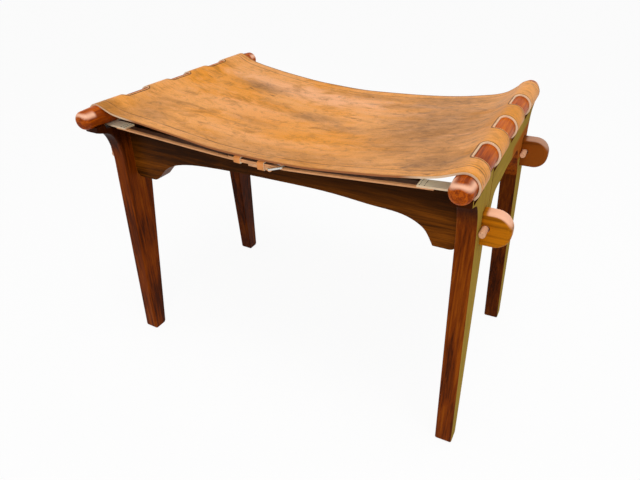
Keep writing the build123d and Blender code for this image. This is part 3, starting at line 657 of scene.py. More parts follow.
class Wood:
    """A wood in the making. Each of its methods lays one finish over the colour so far."""

    def __init__(self, name, grain, tones, sheen=0.03, gloss=0.0):
        self.material, self.tree, self.shader = new_material(
            name, Specular_IOR_Level=sheen, Coat_Weight=gloss, Coat_Roughness=0.12
        )
        tree = self.tree
        coordinates = add_node(tree, "ShaderNodeTexCoord")
        self.place = coordinates.outputs["Object"]
        self.normal = coordinates.outputs["Normal"]
        turned = {"Vector": self.place, "Rotation": GRAIN_TURNS[grain]}
        along = add_node(tree, "ShaderNodeMapping", turned).outputs[0]
        self.levels = noises(tree, along, WOOD_NOISES)
        self.tone = 0.0
        for kind, weight in TONE_WEIGHTS.items():
            self.tone = math_node(tree, "MULTIPLY_ADD", self.levels[kind], weight, self.tone)
        self.deep, middle, bright = tones
        self.colour = opaque(self.deep)
        self.lay(ramp(tree, self.tone, low=0.7, high=0.84), opaque(middle))
        self.lay(ramp(tree, self.tone, low=0.82, high=0.98), opaque(bright))
        self.rough = between(tree, self.levels["lines"], low=0.28, high=0.53)

    def lay(self, amount, colour):
        """Lay a colour over the wood."""
        self.colour = mix_colour(self.tree, amount, self.colour, colour)

    def worn(self, colour, dark_share, low, high):
        """A colour that is darker where the wood's own tone is."""
        dark = opaque(toned(colour, dark_share))
        return mix_colour(self.tree, ramp(self.tree, self.tone, low, high), dark, opaque(colour))

    def out_past(self, axis, start, full):
        """Rise between two distances from the middle along an axis."""
        out = math_node(self.tree, "ABSOLUTE", axis_of(self.tree, self.place, axis))
        return ramp(self.tree, out, start, full)

    def paint_seat_shade(self, low, high):
        """Paint the shade of the seat on the wood, darker towards the seat, between two heights."""
        dusk = ramp(self.tree, axis_of(self.tree, self.place, "Z"), low, high)
        self.lay(times(self.tree, dusk, DUSK_STRENGTH), opaque(toned(self.deep, DUSK_SHARE)))

    def paint_ends(self, colour):
        """Give the ends past the legs a colour of their own."""
        self.lay(self.out_past("X", *TENON_START), self.worn(colour, dark_share=0.5, low=0.66, high=0.95))

    def paint_highlight(self, colour, axis, start, level_tops=None):
        """Paint a pale highlight on tops past a place along an axis. Level tops may be left out, by the
        shares that a top faces upwards where the highlight is gone and full."""
        tree = self.tree
        upward = axis_of(tree, self.normal, "Z")
        out = self.out_past(axis, start, start + HIGHLIGHT_FADE)
        amount = times(tree, out, ramp(tree, upward, *HIGHLIGHT_SLOPES))
        if level_tops is not None:
            amount = times(tree, amount, ramp(tree, upward, *level_tops))
        amount = times(tree, amount, ramp(tree, self.levels["figure"], *HIGHLIGHT_FIGURE))
        self.lay(amount, opaque(colour))

    def paint_outer_reflection(self, colour, tenon_reflection=None):
        """Paint a yellow-green reflection of greenery on the flat outer faces. A gold-brown colour, where
        it is given, is a painted reflection of the rear tenons and stays round them.
        """
        tree = self.tree
        side = math_node(tree, "SIGN", axis_of(tree, self.place, "X"))
        outward = ramp(tree, times(tree, axis_of(tree, self.normal, "X"), side), *OUTWARD)
        outer_reflection = self.worn(colour, dark_share=0.7, low=0.6, high=1.05)
        if tenon_reflection is not None:
            height = axis_of(tree, self.place, "Z")
            near = times(
                tree, ramp(tree, axis_of(tree, self.place, "Y"), *TENON_REFLECTION_START),
                ramp(tree, height, *TENON_REFLECTION_LOW), ramp(tree, height, *TENON_REFLECTION_HIGH),
            )
            outer_reflection = mix_colour(tree, near, outer_reflection, opaque(tenon_reflection))
        self.lay(outward, outer_reflection)
        self.rough = math_node(tree, "MULTIPLY_ADD", outward, OUTER_FACE_ROUGHER, self.rough)

    def finish(self):
        """The finished material."""
        lines, fibre = self.levels["lines"], self.levels["fibre"]
        relief = math_node(self.tree, "MULTIPLY_ADD", fibre, FIBRE_RELIEF, lines)
        finish_surface(
            self.tree, self.shader, self.colour, self.rough, relief, strength=0.12, depth=0.4 * MM
        )
        return self.material


# Steel

DULL_SHARE = 0.6


def steel_material():
    """Bright steel wire with fine scratches."""
    colours = bpy.context.scene.stool_colours
    material, tree, shader = new_material("buckle_wire", Metallic=1.0)
    wear = texture_noise(tree, object_place(tree), scale=500, detail=4)
    dull = opaque(toned(colours.steel, DULL_SHARE))
    colour = mix_colour(tree, ramp(tree, wear, low=0.4, high=0.8), opaque(colours.steel), dull)
    finish_surface(tree, shader, colour, rough=between(tree, wear, low=0.1, high=0.35))
    return material


def dress(node_name, material):
    """Give a node of the frame its material."""
    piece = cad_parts[node_name]
    piece.data.materials.clear()
    piece.data.materials.append(material)


# Sheet leather: cut flat, then bent

# How near a cut has to pass to a vertex to go through it
CUT_TOLERANCE = 0.0001 * MM
# Places of the underside and of the cut edge among a piece's materials
FLESH_MATERIAL = 1
CUT_MATERIAL = 2
# Steps of a softened edge, and the angle from which an edge is softened
EDGE_STEPS = 2
EDGE_ANGLE = math.radians(50)


def flat_sheet(length, low, high, cell):
    """Flat rectangle of leather from X 0 to its length and between two places along Y, in square cells."""
    bm = bmesh.new()
    middle = Matrix.Translation((length / 2, (low + high) / 2, 0))
    half_sizes = Matrix.Diagonal((length / 2, (high - low) / 2, 1, 1))
    x_cells = math.ceil(length / cell)
    y_cells = math.ceil((high - low) / cell)
    bmesh.ops.create_grid(bm, x_segments=x_cells, y_segments=y_cells, size=1, matrix=middle @ half_sizes)
    return bm


def outline_distance(point, low, high, radius):
    """Distance of a point from a rectangle with rounded corners, negative inside it."""
    reach_x = abs(point.x - (low[0] + high[0]) / 2) - (high[0] - low[0]) / 2 + radius
    reach_y = abs(point.y - (low[1] + high[1]) / 2) - (high[1] - low[1]) / 2 + radius
    outside = math.hypot(max(reach_x, 0), max(reach_y, 0))
    return outside + min(max(reach_x, reach_y), 0) - radius


def on_outline(point, low, high, radius):
    """A point near a rounded corner, moved to it. Other points stay."""
    core_x = min(max(point.x, low[0] + radius), high[0] - radius)
    core_y = min(max(point.y, low[1] + radius), high[1] - radius)
    if core_x == point.x or core_y == point.y:
        return point
    core = Vector((core_x, core_y, 0))
    return core + (Vector((point.x, point.y, 0)) - core).normalized() * radius


def near_geometry(bm, low, high, margin):
    """Faces of a flat sheet near a rectangle, with their edges and vertices."""
    faces = []
    for face in bm.faces:
        middle = face.calc_center_median()
        if low[0] - margin < middle.x < high[0] + margin and low[1] - margin < middle.y < high[1] + margin:
            faces.append(face)
    edges = {edge for face in faces for edge in face.edges}
    verts = {vert for face in faces for vert in face.verts}
    return faces + list(edges) + list(verts)


def cut_rectangle(bm, low, high, radius, margin, keep=False):
    """Cut a rounded rectangle out of a flat sheet, or keep only what lies inside it."""
    for corner in (low, high):
        for normal in (X_AXIS, Y_AXIS):
            bmesh.ops.bisect_plane(
                bm, geom=near_geometry(bm, low, high, margin), dist=CUT_TOLERANCE,
                plane_co=Vector((corner[0], corner[1], 0)), plane_no=normal,
            )
    doomed = []
    for face in bm.faces:
        inside = outline_distance(face.calc_center_median(), low, high, radius) < 0
        if inside != keep:
            doomed.append(face)
    bmesh.ops.delete(bm, geom=doomed, context="FACES")
    for vert in bm.verts:
        if vert.is_boundary and abs(outline_distance(vert.co, low, high, radius)) < radius:
            vert.co = on_outline(vert.co, low, high, radius)


def mark_pattern(bm):
    """Keep the flat places of the sheet as its UV map."""
    layer = bm.loops.layers.uv.new("pattern")
    for face in bm.faces:
        for loop in face.loops:
            loop[layer].uv = (loop.vert.co.x, loop.vert.co.y)


def bend(bm, place):
    """Move each vertex from its place on the flat sheet to its place in space."""
    for vert in bm.verts:
        vert.co = place(vert.co.x, vert.co.y)


def make_piece(name, bm, materials):
    """A finished mesh that rides on the stool."""
    mesh = bpy.data.meshes.new(name)
    bm.to_mesh(mesh)
    bm.free()
    piece = bpy.data.objects.new(name, mesh)
    bpy.context.scene.collection.objects.link(piece)
    for material in materials:
        mesh.materials.append(material)
    for polygon in mesh.polygons:
        polygon.use_smooth = True
    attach(piece, STOOL)
    return piece


def thicken(piece, thickness, edge_round):
    """Give a bent sheet its thickness under its grain side, a rim and soft edges."""
    shell = piece.modifiers.new("thickness", "SOLIDIFY")
    shell.thickness = thickness
    shell.offset = -1
    shell.use_even_offset = True
    shell.material_offset = FLESH_MATERIAL
    shell.material_offset_rim = CUT_MATERIAL
    soft = piece.modifiers.new("edges", "BEVEL")
    soft.width = edge_round
    soft.segments = EDGE_STEPS
    soft.limit_method = "ANGLE"
    soft.angle_limit = EDGE_ANGLE
    soft.use_clamp_overlap = True


def finish_leather(name, bm, place, materials, thickness, edge_round, node_name, seam=0.0):
    """Bend a flat pattern, thicken it, and let it stand for a node of the frame. The ends of a ring are
    joined where they are no further apart than its seam."""
    mark_pattern(bm)
    bend(bm, place)
    if seam:
        bmesh.ops.remove_doubles(bm, verts=bm.verts, dist=seam)
    piece = make_piece(name, bm, materials)
    thicken(piece, thickness, edge_round)
    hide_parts(node_name)
    return piece


class Line:
    """A line of points in a plane, measured along its length."""

    def __init__(self, points):
        self.points = [Vector(point) for point in points]
        self.along = [0.0]
        for first, second in zip(self.points, self.points[1:]):
            self.along.append(self.along[-1] + (second - first).length)
        self.length = self.along[-1]
        # The stretch in which the last point lay, where the next search starts
        self.last = 0

    def at(self, distance):
        """Point at a distance along the line."""
        distance = min(max(distance, 0.0), self.length)
        while self.last > 0 and self.along[self.last] > distance:
            self.last -= 1
        while self.last < len(self.along) - 2 and self.along[self.last + 1] < distance:
            self.last += 1
        span = self.along[self.last + 1] - self.along[self.last]
        part = (distance - self.along[self.last]) / span if span else 0.0
        return self.points[self.last].lerp(self.points[self.last + 1], part)


def smooth_step(value):
    """Rise from 0 to 1 with level ends."""
    value = min(max(value, 0.0), 1.0)
    return value * value * (3 - 2 * value)


def smooth_curve(places, values, place):
    """Value at a place of the smooth curve through a row of points."""
    last = len(places) - 1
    index = min(max(bisect.bisect_right(places, place) - 1, 0), last - 1)

    def slope(at):
        first, second = max(at - 1, 0), min(at + 1, last)
        return (values[second] - values[first]) / (places[second] - places[first])

    span = places[index + 1] - places[index]
    part = (place - places[index]) / span
    rise = smooth_step(part)
    level = values[index] * (1 - rise) + values[index + 1] * rise
    return level + span * part * (1 - part) * ((1 - part) * slope(index) - part * slope(index + 1))


# Seat

# Steps of the line through the seat from rail to rail
SPAN_STEPS = 200
# Hide that stays in place past the outermost flaps
FLAP_MARGIN = 1 * MM
# Share of the way from a rail to the middle over which the hide comes loose, and how much does
LOOSE_REACH = 0.15
LOOSE_SHARE = 0.3
# Waves of the long edges: how far in they reach, how close they are, and the rows of noise they follow
RIPPLE_REACH = 40 * MM
RIPPLE_PITCH = 14
RIPPLE_ROWS = {"front": 0.4, "rear": 3.1}
# How far a cut goes past the end of the hide, the corners between the flaps, and what counts as one place
CUT_BEYOND = 10 * MM
FLAP_ROUND = 0.1 * MM
SAME_PLACE = 0.02 * MM
# Cells round a window or a flap that its cut may split
CUT_CELLS = 2


def end_of(v):
    """The end of the stool on which a place along Y lies."""
    return "rear" if v > 0 else "front"


class SlingShape:
    """Where each point of the flat hide goes once it hangs from the rails."""

    def __init__(self):
        sizes = bpy.context.scene.stool_sling
        self.sizes = sizes
        self.rail_x, self.rail_z, rail_radius = rail_place("right")
        self.outer = rail_radius + sizes.clearance + sizes.hide
        self.half = self.rail_x - self.outer * math.sin(sizes.tilt)
        self.end_z = self.rail_z + self.outer * math.cos(sizes.tilt)
        self.corners = {
            "front": (sizes.front_left - rail_end(), sizes.front_right - rail_end()),
            "rear": (rail_end() - sizes.rear_left, rail_end() - sizes.rear_right),
        }
        self.waist = {"front": -sizes.front_waist, "rear": sizes.rear_waist}
        self.front = min(self.corners["front"])
        self.rear = max(self.corners["rear"])
        # The outermost flaps keep their places when the long edges are cut to their line
        self.still = {
            "front": belt_middle("front") - sizes.flap / 2 - FLAP_MARGIN,
            "rear": belt_middle("rear") + sizes.flap / 2 + FLAP_MARGIN,
        }
        self.wrap = self.outer * (math.pi + sizes.tilt - sizes.flap_slope)
        run = self.rail_x + self.outer * math.sin(sizes.flap_slope)
        self.left_flap = (run - sizes.flap_end_left) / math.cos(sizes.flap_slope)
        self.right_flap = (run - sizes.flap_end_right) / math.cos(sizes.flap_slope)
        xs = [self.half * (2 * step / SPAN_STEPS - 1) for step in range(SPAN_STEPS + 1)]
        self.span = Line([(x, 0, self.seat_z(x, 0)) for x in xs])
        self.seat_start = self.left_flap + self.wrap
        self.seat_end = self.seat_start + self.span.length
        self.length = self.seat_end + self.wrap + self.right_flap

    def width_share(self, y):
        """Share of the seat's width at a place along Y, from -1 at its front to 1 at its rear."""
        return (2 * y - self.front - self.rear) / (self.rear - self.front)

    def seat_z(self, x, y):
        """Height of the seat's top between the rails."""
        x_share = x / self.half
        y_share = self.width_share(y)
        front = self.sizes.front_sag * smooth_curve(SAG_PLACE_SHARES, SAG_SHARES["front"], x_share)
        rear = self.sizes.rear_sag * smooth_curve(SAG_PLACE_SHARES, SAG_SHARES["rear"], x_share)
        drop = (front * (1 - y_share) + rear * (1 + y_share)) / 2
        drop += self.sizes.dish * (1 - x_share ** 2) ** 2 * (1 - y_share ** 2)
        over_rail = self.outer ** 2 - (self.rail_x - abs(x)) ** 2
        if over_rail > 0:
            return max(self.end_z - drop, self.rail_z + math.sqrt(over_rail))
        return self.end_z - drop

    def belt_middle_z(self, y):
        """Height of the seat's top at its lowest point along Y."""
        y_share = self.width_share(y)
        sag = (self.sizes.front_sag * (1 - y_share) + self.sizes.rear_sag * (1 + y_share)) / 2
        return self.end_z - sag - self.sizes.dish * (1 - y_share ** 2)

    def seat_x(self, u):
        """Place along X of a point of the flat hide, no further out than the seat's ends."""
        return self.span.at(u - self.seat_start).x

    def edge_y(self, end_name, x_share):
        """Place of a long edge along Y."""
        left, right = self.corners[end_name]
        return left + (right - left) * (x_share + 1) / 2 - self.waist[end_name] * (1 - x_share ** 2)

    def edge_gap(self, x_share, y):
        """Distance along Y from the nearer long edge."""
        return min(abs(self.edge_y(end_name, x_share) - y) for end_name in ENDS)

    def trim(self, u, v):
        """Cut the flat hide's long edges to their line, with the flaps and windows left in place."""
        end_name = end_of(v)
        x_share = self.seat_x(u) / self.half
        loose = smooth_step((1 - abs(x_share)) / LOOSE_REACH)
        still = self.still[end_name] * (1 - LOOSE_SHARE * loose)
        if abs(v) <= abs(still):
            return v
        far = {"front": self.front, "rear": self.rear}[end_name]
        return still + (v - still) * (self.edge_y(end_name, x_share) - still) / (far - still)

    def round_rail(self, side, distance, v):
        """A point that lies past the seat's end: round the rail, then along the flap."""
        if distance < self.wrap:
            theta = self.sizes.tilt - distance / self.outer
            x = self.rail_x - self.outer * math.sin(theta)
            z = self.rail_z + self.outer * math.cos(theta)
        else:
            slope = self.sizes.flap_slope
            run = distance - self.wrap
            x = self.rail_x + self.outer * math.sin(slope) - run * math.cos(slope)
            z = self.rail_z - self.outer * math.cos(slope) - run * math.sin(slope)
        return Vector((side * x, v, z))

    def place(self, u, v):
        """Where a point of the flat hide goes."""
        if u < self.seat_start:
            return self.round_rail(-1, self.seat_start - u, v)
        if u > self.seat_end:
            return self.round_rail(1, u - self.seat_end, v)
        x = self.seat_x(u)
        x_share = x / self.half
        # The long edges wave a little between the rails
        edge = (1 - smooth_step(self.edge_gap(x_share, v) / RIPPLE_REACH)) * (1 - x_share ** 2)
        wave = noise.noise(Vector((u * RIPPLE_PITCH, RIPPLE_ROWS[end_of(v)], 0)))
        return Vector((x, v, self.seat_z(x, v) + self.sizes.ripple * edge * wave))


def window_cuts(shape):
    """Lowest and highest corner of each window on the flat hide."""
    sizes = shape.sizes
    spans = {
        "left": (-CUT_BEYOND, shape.seat_start + sizes.window_depth),
        "right": (shape.seat_end - sizes.window_depth, shape.length + CUT_BEYOND),
    }
    return [
        ((low_u, middle - sizes.window / 2), (high_u, middle + sizes.window / 2))
        for side_name, (low_u, high_u) in spans.items()
        for middle in window_middles(side_name)
    ]


def flap_cuts(shape):
    """Lowest and highest corner of each gap beside and between the flaps on the flat hide."""
    borders = [shape.front - CUT_BEYOND]
    for name in BELTS:
        middle = belt_middle(name)
        borders += [middle - shape.sizes.flap / 2, middle + shape.sizes.flap / 2]
    borders.append(shape.rear + CUT_BEYOND)
    spans = (
        (-CUT_BEYOND, shape.left_flap),
        (shape.length - shape.right_flap, shape.length + CUT_BEYOND),
    )
    return [
        ((low_u, front_v), (high_u, rear_v))
        for low_u, high_u in spans
        for front_v, rear_v in zip(borders[0::2], borders[1::2])
    ]


def cut_hide(shape):
    """The flat hide with its windows, flaps and long edges cut. It keeps how far these cuts are."""
    sizes = shape.sizes
    bm = flat_sheet(shape.length, shape.front, shape.rear, sizes.cell)
    margin = sizes.cell * CUT_CELLS
    windows = window_cuts(shape)
    for low, high in windows:
        cut_rectangle(bm, low, high, sizes.window_round, margin)
    for low, high in flap_cuts(shape):
        cut_rectangle(bm, low, high, FLAP_ROUND, margin)
    bmesh.ops.remove_doubles(bm, verts=bm.verts, dist=SAME_PLACE)
    from_window = bm.verts.layers.float.new("window_distance")
    for vert in bm.verts:
        distances = [outline_distance(vert.co, low, high, sizes.window_round) for low, high in windows]
        vert[from_window] = min(distances)
    from_edge = bm.verts.layers.float.new("edge_distance")
    for vert in bm.verts:
        vert.co.y = shape.trim(vert.co.x, vert.co.y)
        vert[from_edge] = shape.edge_gap(shape.seat_x(vert.co.x) / shape.half, vert.co.y)
    return bm


class STOOL_OT_seat(bpy.types.Operator):
    """Make the leather sling from a flat hide"""

    bl_idname = "stool.seat"
    bl_label = "Leather seat"

    def execute(self, context):
        sizes = context.scene.stool_sling
        colours = context.scene.stool_colours
        shape = SlingShape()
        bm = cut_hide(shape)
        area = sum(face.calc_area() for face in bm.faces)
        materials = [
            seat_material((shape.seat_start + shape.seat_end) / 2),
            leather_material("seat_flesh", colours.flesh, speckle=0.08, rough=0.85),
            cut_edge_material(),
        ]
        piece = finish_leather(
            "seat_sling", bm, shape.place, materials,
            sizes.hide, sizes.edge_round, "seat_leather",
        )
        return {"FINISHED"}


# Belts

# Length of a step along a belt, and steps of the strap's turn round the heel bar
RUN_STEP = 1 * MM
FOLD_STEPS = 16
# Where the tail starts to climb over the buckle, as a share of the buckle's reach from its heel bar
CLIMB_SHARE = 1.1
STRAP_CELL = 2 * MM
STRAP_EDGE_ROUND = 0.4 * MM
# The buckle strap's slot: how far it goes past the fold, and its corners as a share of its width
FOLD_SPARE = 3.5 * MM
FOLD_SLOT_ROUND = 0.49
# The tail's slot: its ends as shares of the buckle's reach, half its width and its corners as shares of
# the prong slot's width
TAIL_SLOT_START = 0.05
TAIL_SLOT_END = 0.85
TAIL_SLOT_HALF = 0.4
TAIL_SLOT_ROUND = 0.39
KEEPER_CELL = 1 * MM
KEEPER_EDGE_ROUND = 0.35 * MM
# Corners of a keeper as a share of its wall, and how near the ends of its ring are joined
KEEPER_ROUND = 1.2
KEEPER_SEAM = 0.05 * MM
# The four corners of a keeper turn by a quarter each, in steps, in degrees
QUARTER_TURN = 90
TURN_STEP = 15
# Stitches: how far the rows are from the end of a flap, and how many a row has, how far apart
STITCH_ROWS = (3 * MM, 9 * MM)
STITCHES_IN_ROW = 5
STITCH_STEP = 4 * MM
STITCH_SEGMENTS = 8
STITCH_RINGS = 6


class BeltShape:
    """The line of one belt, as in the frame: everything is placed from the top of the plain strap."""

    def __init__(self, name):
        self.sizes = bpy.context.scene.stool_belts
        self.seat = SlingShape()
        self.y = belt_middle(name)

    def flap_end(self, side):
        """Distance of the flaps' ends from the middle, on a side."""
        return self.seat.sizes.flap_end_right if side > 0 else self.seat.sizes.flap_end_left

    def flap_low_z(self, x):
        """Height of a flap's underside at a distance from the middle."""
        seat = self.seat
        slope = seat.sizes.flap_slope
        run = seat.rail_x + seat.outer * math.sin(slope) - x
        return seat.rail_z - seat.outer * math.cos(slope) - run * math.tan(slope)

    def top_z(self, x):
        """Height of the top of the plain strap."""
        seat, sizes = self.seat, self.sizes
        flap_end = self.flap_end(x)
        if abs(x) > flap_end:
            return self.flap_low_z(abs(x)) - sizes.gap
        middle_z = seat.belt_middle_z(self.y) - seat.sizes.hide - sizes.drop
        rise = self.flap_low_z(flap_end) - sizes.gap - middle_z
        straight = 2 - math.tan(seat.sizes.flap_slope) * flap_end / rise
        part = abs(x) / flap_end
        eased = math.hypot(part, sizes.ease) - sizes.ease
        eased /= math.hypot(1, sizes.ease) - sizes.ease
        return middle_z + rise * (straight * eased + (1 - straight) * part ** 2)

    def run(self, first_x, last_x, lift=lambda x: 0.0):
        """Points that follow the belt."""
        steps = max(2, round(abs(last_x - first_x) / RUN_STEP))
        xs = [first_x + (last_x - first_x) * step / steps for step in range(steps + 1)]
        return [(x, 0, self.top_z(x) + lift(x)) for x in xs]

    def buckle_line(self):
        """Outer side of the buckle strap: along the top, round the heel bar and back underneath.
        Also gives how far along it the fold starts, and how long the fold is."""
        sizes = self.sizes
        start = self.run(-self.flap_end(-1) - sizes.lap, sizes.heel)
        outer = sizes.bar + sizes.bar_clearance + sizes.strap
        bar_z = self.top_z(sizes.heel) - outer
        turns = [math.pi * step / FOLD_STEPS for step in range(1, FOLD_STEPS)]
        fold = [(sizes.heel + outer * math.sin(turn), 0, bar_z + outer * math.cos(turn)) for turn in turns]
        low = -2 * sizes.strap - sizes.gap
        close_x = sizes.heel - sizes.fold_close
        open_drop = -2 * outer

        def lift(x):
            return low + (open_drop - low) * smooth_step((x - close_x) / sizes.fold_close)

        back = self.run(sizes.heel, sizes.heel - sizes.fold_return, lift)
        return Line(start + fold + back), Line(start).length, math.pi * outer

    def tail_line(self):
        """Top of the tail strap, from its tip to the right flap."""
        sizes = self.sizes
        climb = sizes.strap + sizes.gap
        foot_x = sizes.heel + CLIMB_SHARE * sizes.reach

        def lift(x):
            return climb * smooth_step((foot_x - x) / (foot_x - sizes.heel))

        return Line(self.run(-sizes.tail_end, self.flap_end(1) + sizes.lap, lift))

    def on_line(self, line):
        """Place of a point of a flat strap that is bent along a line."""
        def place(u, v):
            point = line.at(u)
            return Vector((point.x, self.y + v, point.z))
        return place

    def keeper_ring(self, layers):
        """Outer side of a keeper round some layers of strap, as a closed line across the belt."""
        sizes = self.sizes
        layer = sizes.strap + sizes.gap
        top = layer + sizes.keeper_clearance + sizes.keeper_wall
        low = -layers * layer - sizes.keeper_clearance - sizes.keeper_wall
        half = sizes.width / 2 + sizes.keeper_clearance + sizes.keeper_wall
        corner = KEEPER_ROUND * sizes.keeper_wall
        cores = (
            (-half + corner, top - corner), (-half + corner, low + corner),
            (half - corner, low + corner), (half - corner, top - corner),
        )
        points = []
        for number, (core_y, core_z) in enumerate(cores):
            for turn in range(0, QUARTER_TURN + 1, TURN_STEP):
                way = math.radians(number * QUARTER_TURN + turn)
                points.append((core_y - corner * math.sin(way), core_z + corner * math.cos(way), 0))
        return Line(points + points[:1])

    def round_belt(self, line, x):
        """Place of a point of a flat keeper that is bent round the belt at a place along X."""
        middle_z = self.top_z(x)
        reach = self.sizes.width / 2
        slope = math.atan((self.top_z(x + reach) - self.top_z(x - reach)) / (2 * reach))

        def place(u, v):
            ring = line.at(u)
            return Vector((
                x + v * math.cos(slope) - ring.y * math.sin(slope),
                self.y + ring.x,
                middle_z + v * math.sin(slope) + ring.y * math.cos(slope),
            ))
        return place


def strap_materials(kind, lit_from):
    """Grain, flesh and cut edge of the straps of a kind."""
    colours = bpy.context.scene.stool_colours
    return [
        strap_grain_material(f"{kind}_grain", lit_from),
        leather_material(f"{kind}_flesh", colours.flesh, speckle=0.2, rough=0.85),
        leather_material(f"{kind}_cut", colours.strap_cut_and_light, speckle=0.2, rough=0.7),
    ]


class STOOL_OT_straps(bpy.types.Operator):
    """Make the straps of the four belts under the seat"""

    bl_idname = "stool.straps"
    bl_label = "Straps"

    def execute(self, context):
        sizes = context.scene.stool_belts
        half = sizes.width / 2
        rail_x, _, _ = rail_place("right")
        buckle_materials = strap_materials("buckle_strap", -rail_x)
        tail_materials = strap_materials("tail_strap", sizes.heel)
        for name in BELTS:
            shape = BeltShape(name)
            line, fold_start, fold_length = shape.buckle_line()
            bm = flat_sheet(line.length, -half, half, STRAP_CELL)
            cut_rectangle(
                bm, (fold_start - FOLD_SPARE, -sizes.slot / 2),
                (fold_start + fold_length + FOLD_SPARE, sizes.slot / 2),
                FOLD_SLOT_ROUND * sizes.slot, STRAP_CELL,
            )
            finish_leather(
                f"buckle_strap_leather_{name}", bm, shape.on_line(line), buckle_materials,
                sizes.strap, STRAP_EDGE_ROUND, f"buckle_strap_{name}",
            )

            line = shape.tail_line()
            bm = flat_sheet(line.length, -half, half, STRAP_CELL)
            heel_u = sizes.tail_end + sizes.heel
            slot_half = TAIL_SLOT_HALF * sizes.slot
            cut_rectangle(
                bm, (heel_u + TAIL_SLOT_START * sizes.reach, -slot_half),
                (heel_u + TAIL_SLOT_END * sizes.reach, slot_half), TAIL_SLOT_ROUND * sizes.slot, STRAP_CELL,
            )
            # Only the tip has round corners: the other end of the outline lies past the strap
            past_end = line.length + sizes.tail_round
            cut_rectangle(bm, (0, -half), (past_end, half), sizes.tail_round, STRAP_CELL, keep=True)
            finish_leather(
                f"tail_strap_leather_{name}", bm, shape.on_line(line), tail_materials,
                sizes.strap, STRAP_EDGE_ROUND, f"tail_strap_{name}",
            )
        return {"FINISHED"}


class STOOL_OT_keepers(bpy.types.Operator):
    """Make the two leather keepers of each belt"""

    bl_idname = "stool.keepers"
    bl_label = "Keepers"

    def execute(self, context):
        sizes = context.scene.stool_belts
        colours = context.scene.stool_colours
        materials = [
            leather_material("keeper_grain", colours.keeper, speckle=0.25, rough=0.5),
            leather_material("keeper_flesh", colours.flesh, speckle=0.2, rough=0.85),
            leather_material("keeper_cut", colours.cut, speckle=0.25, rough=0.7),
        ]
        # Place of each keeper along X, and the layers of strap under the tail inside it
        keepers = {"inner": (sizes.inner_keeper, 2), "outer": (-sizes.outer_keeper, 1)}
        half = sizes.keeper_width / 2
        for name in BELTS:
            shape = BeltShape(name)
            for kind, (x, layers) in keepers.items():
                line = shape.keeper_ring(layers)
                bm = flat_sheet(line.length, -half, half, KEEPER_CELL)
                finish_leather(
                    f"keeper_leather_{kind}_{name}", bm, shape.round_belt(line, x), materials,
                    sizes.keeper_wall, KEEPER_EDGE_ROUND, f"keeper_{kind}_{name}",
                    seam=KEEPER_SEAM,
                )
        return {"FINISHED"}


def sew(bm, shape, side, row):
    """Sew a row of stitches through a flap and its strap, seen on both sides."""
    sizes = shape.sizes
    x = shape.flap_end(side) + row
    top = shape.flap_low_z(x) + shape.seat.sizes.hide
    low = shape.flap_low_z(x) - sizes.gap - sizes.strap
    turned = Matrix.Rotation(side * shape.seat.sizes.flap_slope, 4, "Y")
    half_sizes = Matrix.Diagonal((sizes.thread / 2, sizes.stitch / 2, sizes.thread / 2, 1))
    for step in range(STITCHES_IN_ROW):
        y = shape.y + (step - STITCHES_IN_ROW // 2) * STITCH_STEP
        for z in (top, low):
            bmesh.ops.create_uvsphere(
                bm, u_segments=STITCH_SEGMENTS, v_segments=STITCH_RINGS, radius=1,
                matrix=Matrix.Translation((side * x, y, z)) @ turned @ half_sizes,
            )


class STOOL_OT_stitches(bpy.types.Operator):
    """Sew the straps to the flaps"""

    bl_idname = "stool.stitches"
    bl_label = "Stitches"

    def execute(self, context):
        thread = thread_material()
        for name in BELTS:
            shape = BeltShape(name)
            bm = bmesh.new()
            for side in SIDES.values():
                for row in STITCH_ROWS:
                    sew(bm, shape, side, row)
            make_piece(f"stitches_{name}", bm, [thread])
        return {"FINISHED"}


# Wood and metal of the frame

# Heights between which painted shade darkens the wood towards the seat
LEG_SEAT_SHADE = (366 * MM, 402 * MM)
APRON_SEAT_SHADE = (348 * MM, 396 * MM)
# Distances from the middle from which the tops of the paddles and the tips of the rails take a painted
# highlight
PADDLE_HIGHLIGHT_START = 300 * MM
RAIL_HIGHLIGHT_START = 203 * MM
# Shares that a rail's top faces upwards where its painted highlight is gone and full
RAIL_LEVEL_TOPS = (0.95, 0.6)
# What the painted shade at the rear leaves of a tone, and how dark the lines of the pegs are
REAR_SHADE_SHARE = 0.5
PEG_LINE_SHARE = 0.75


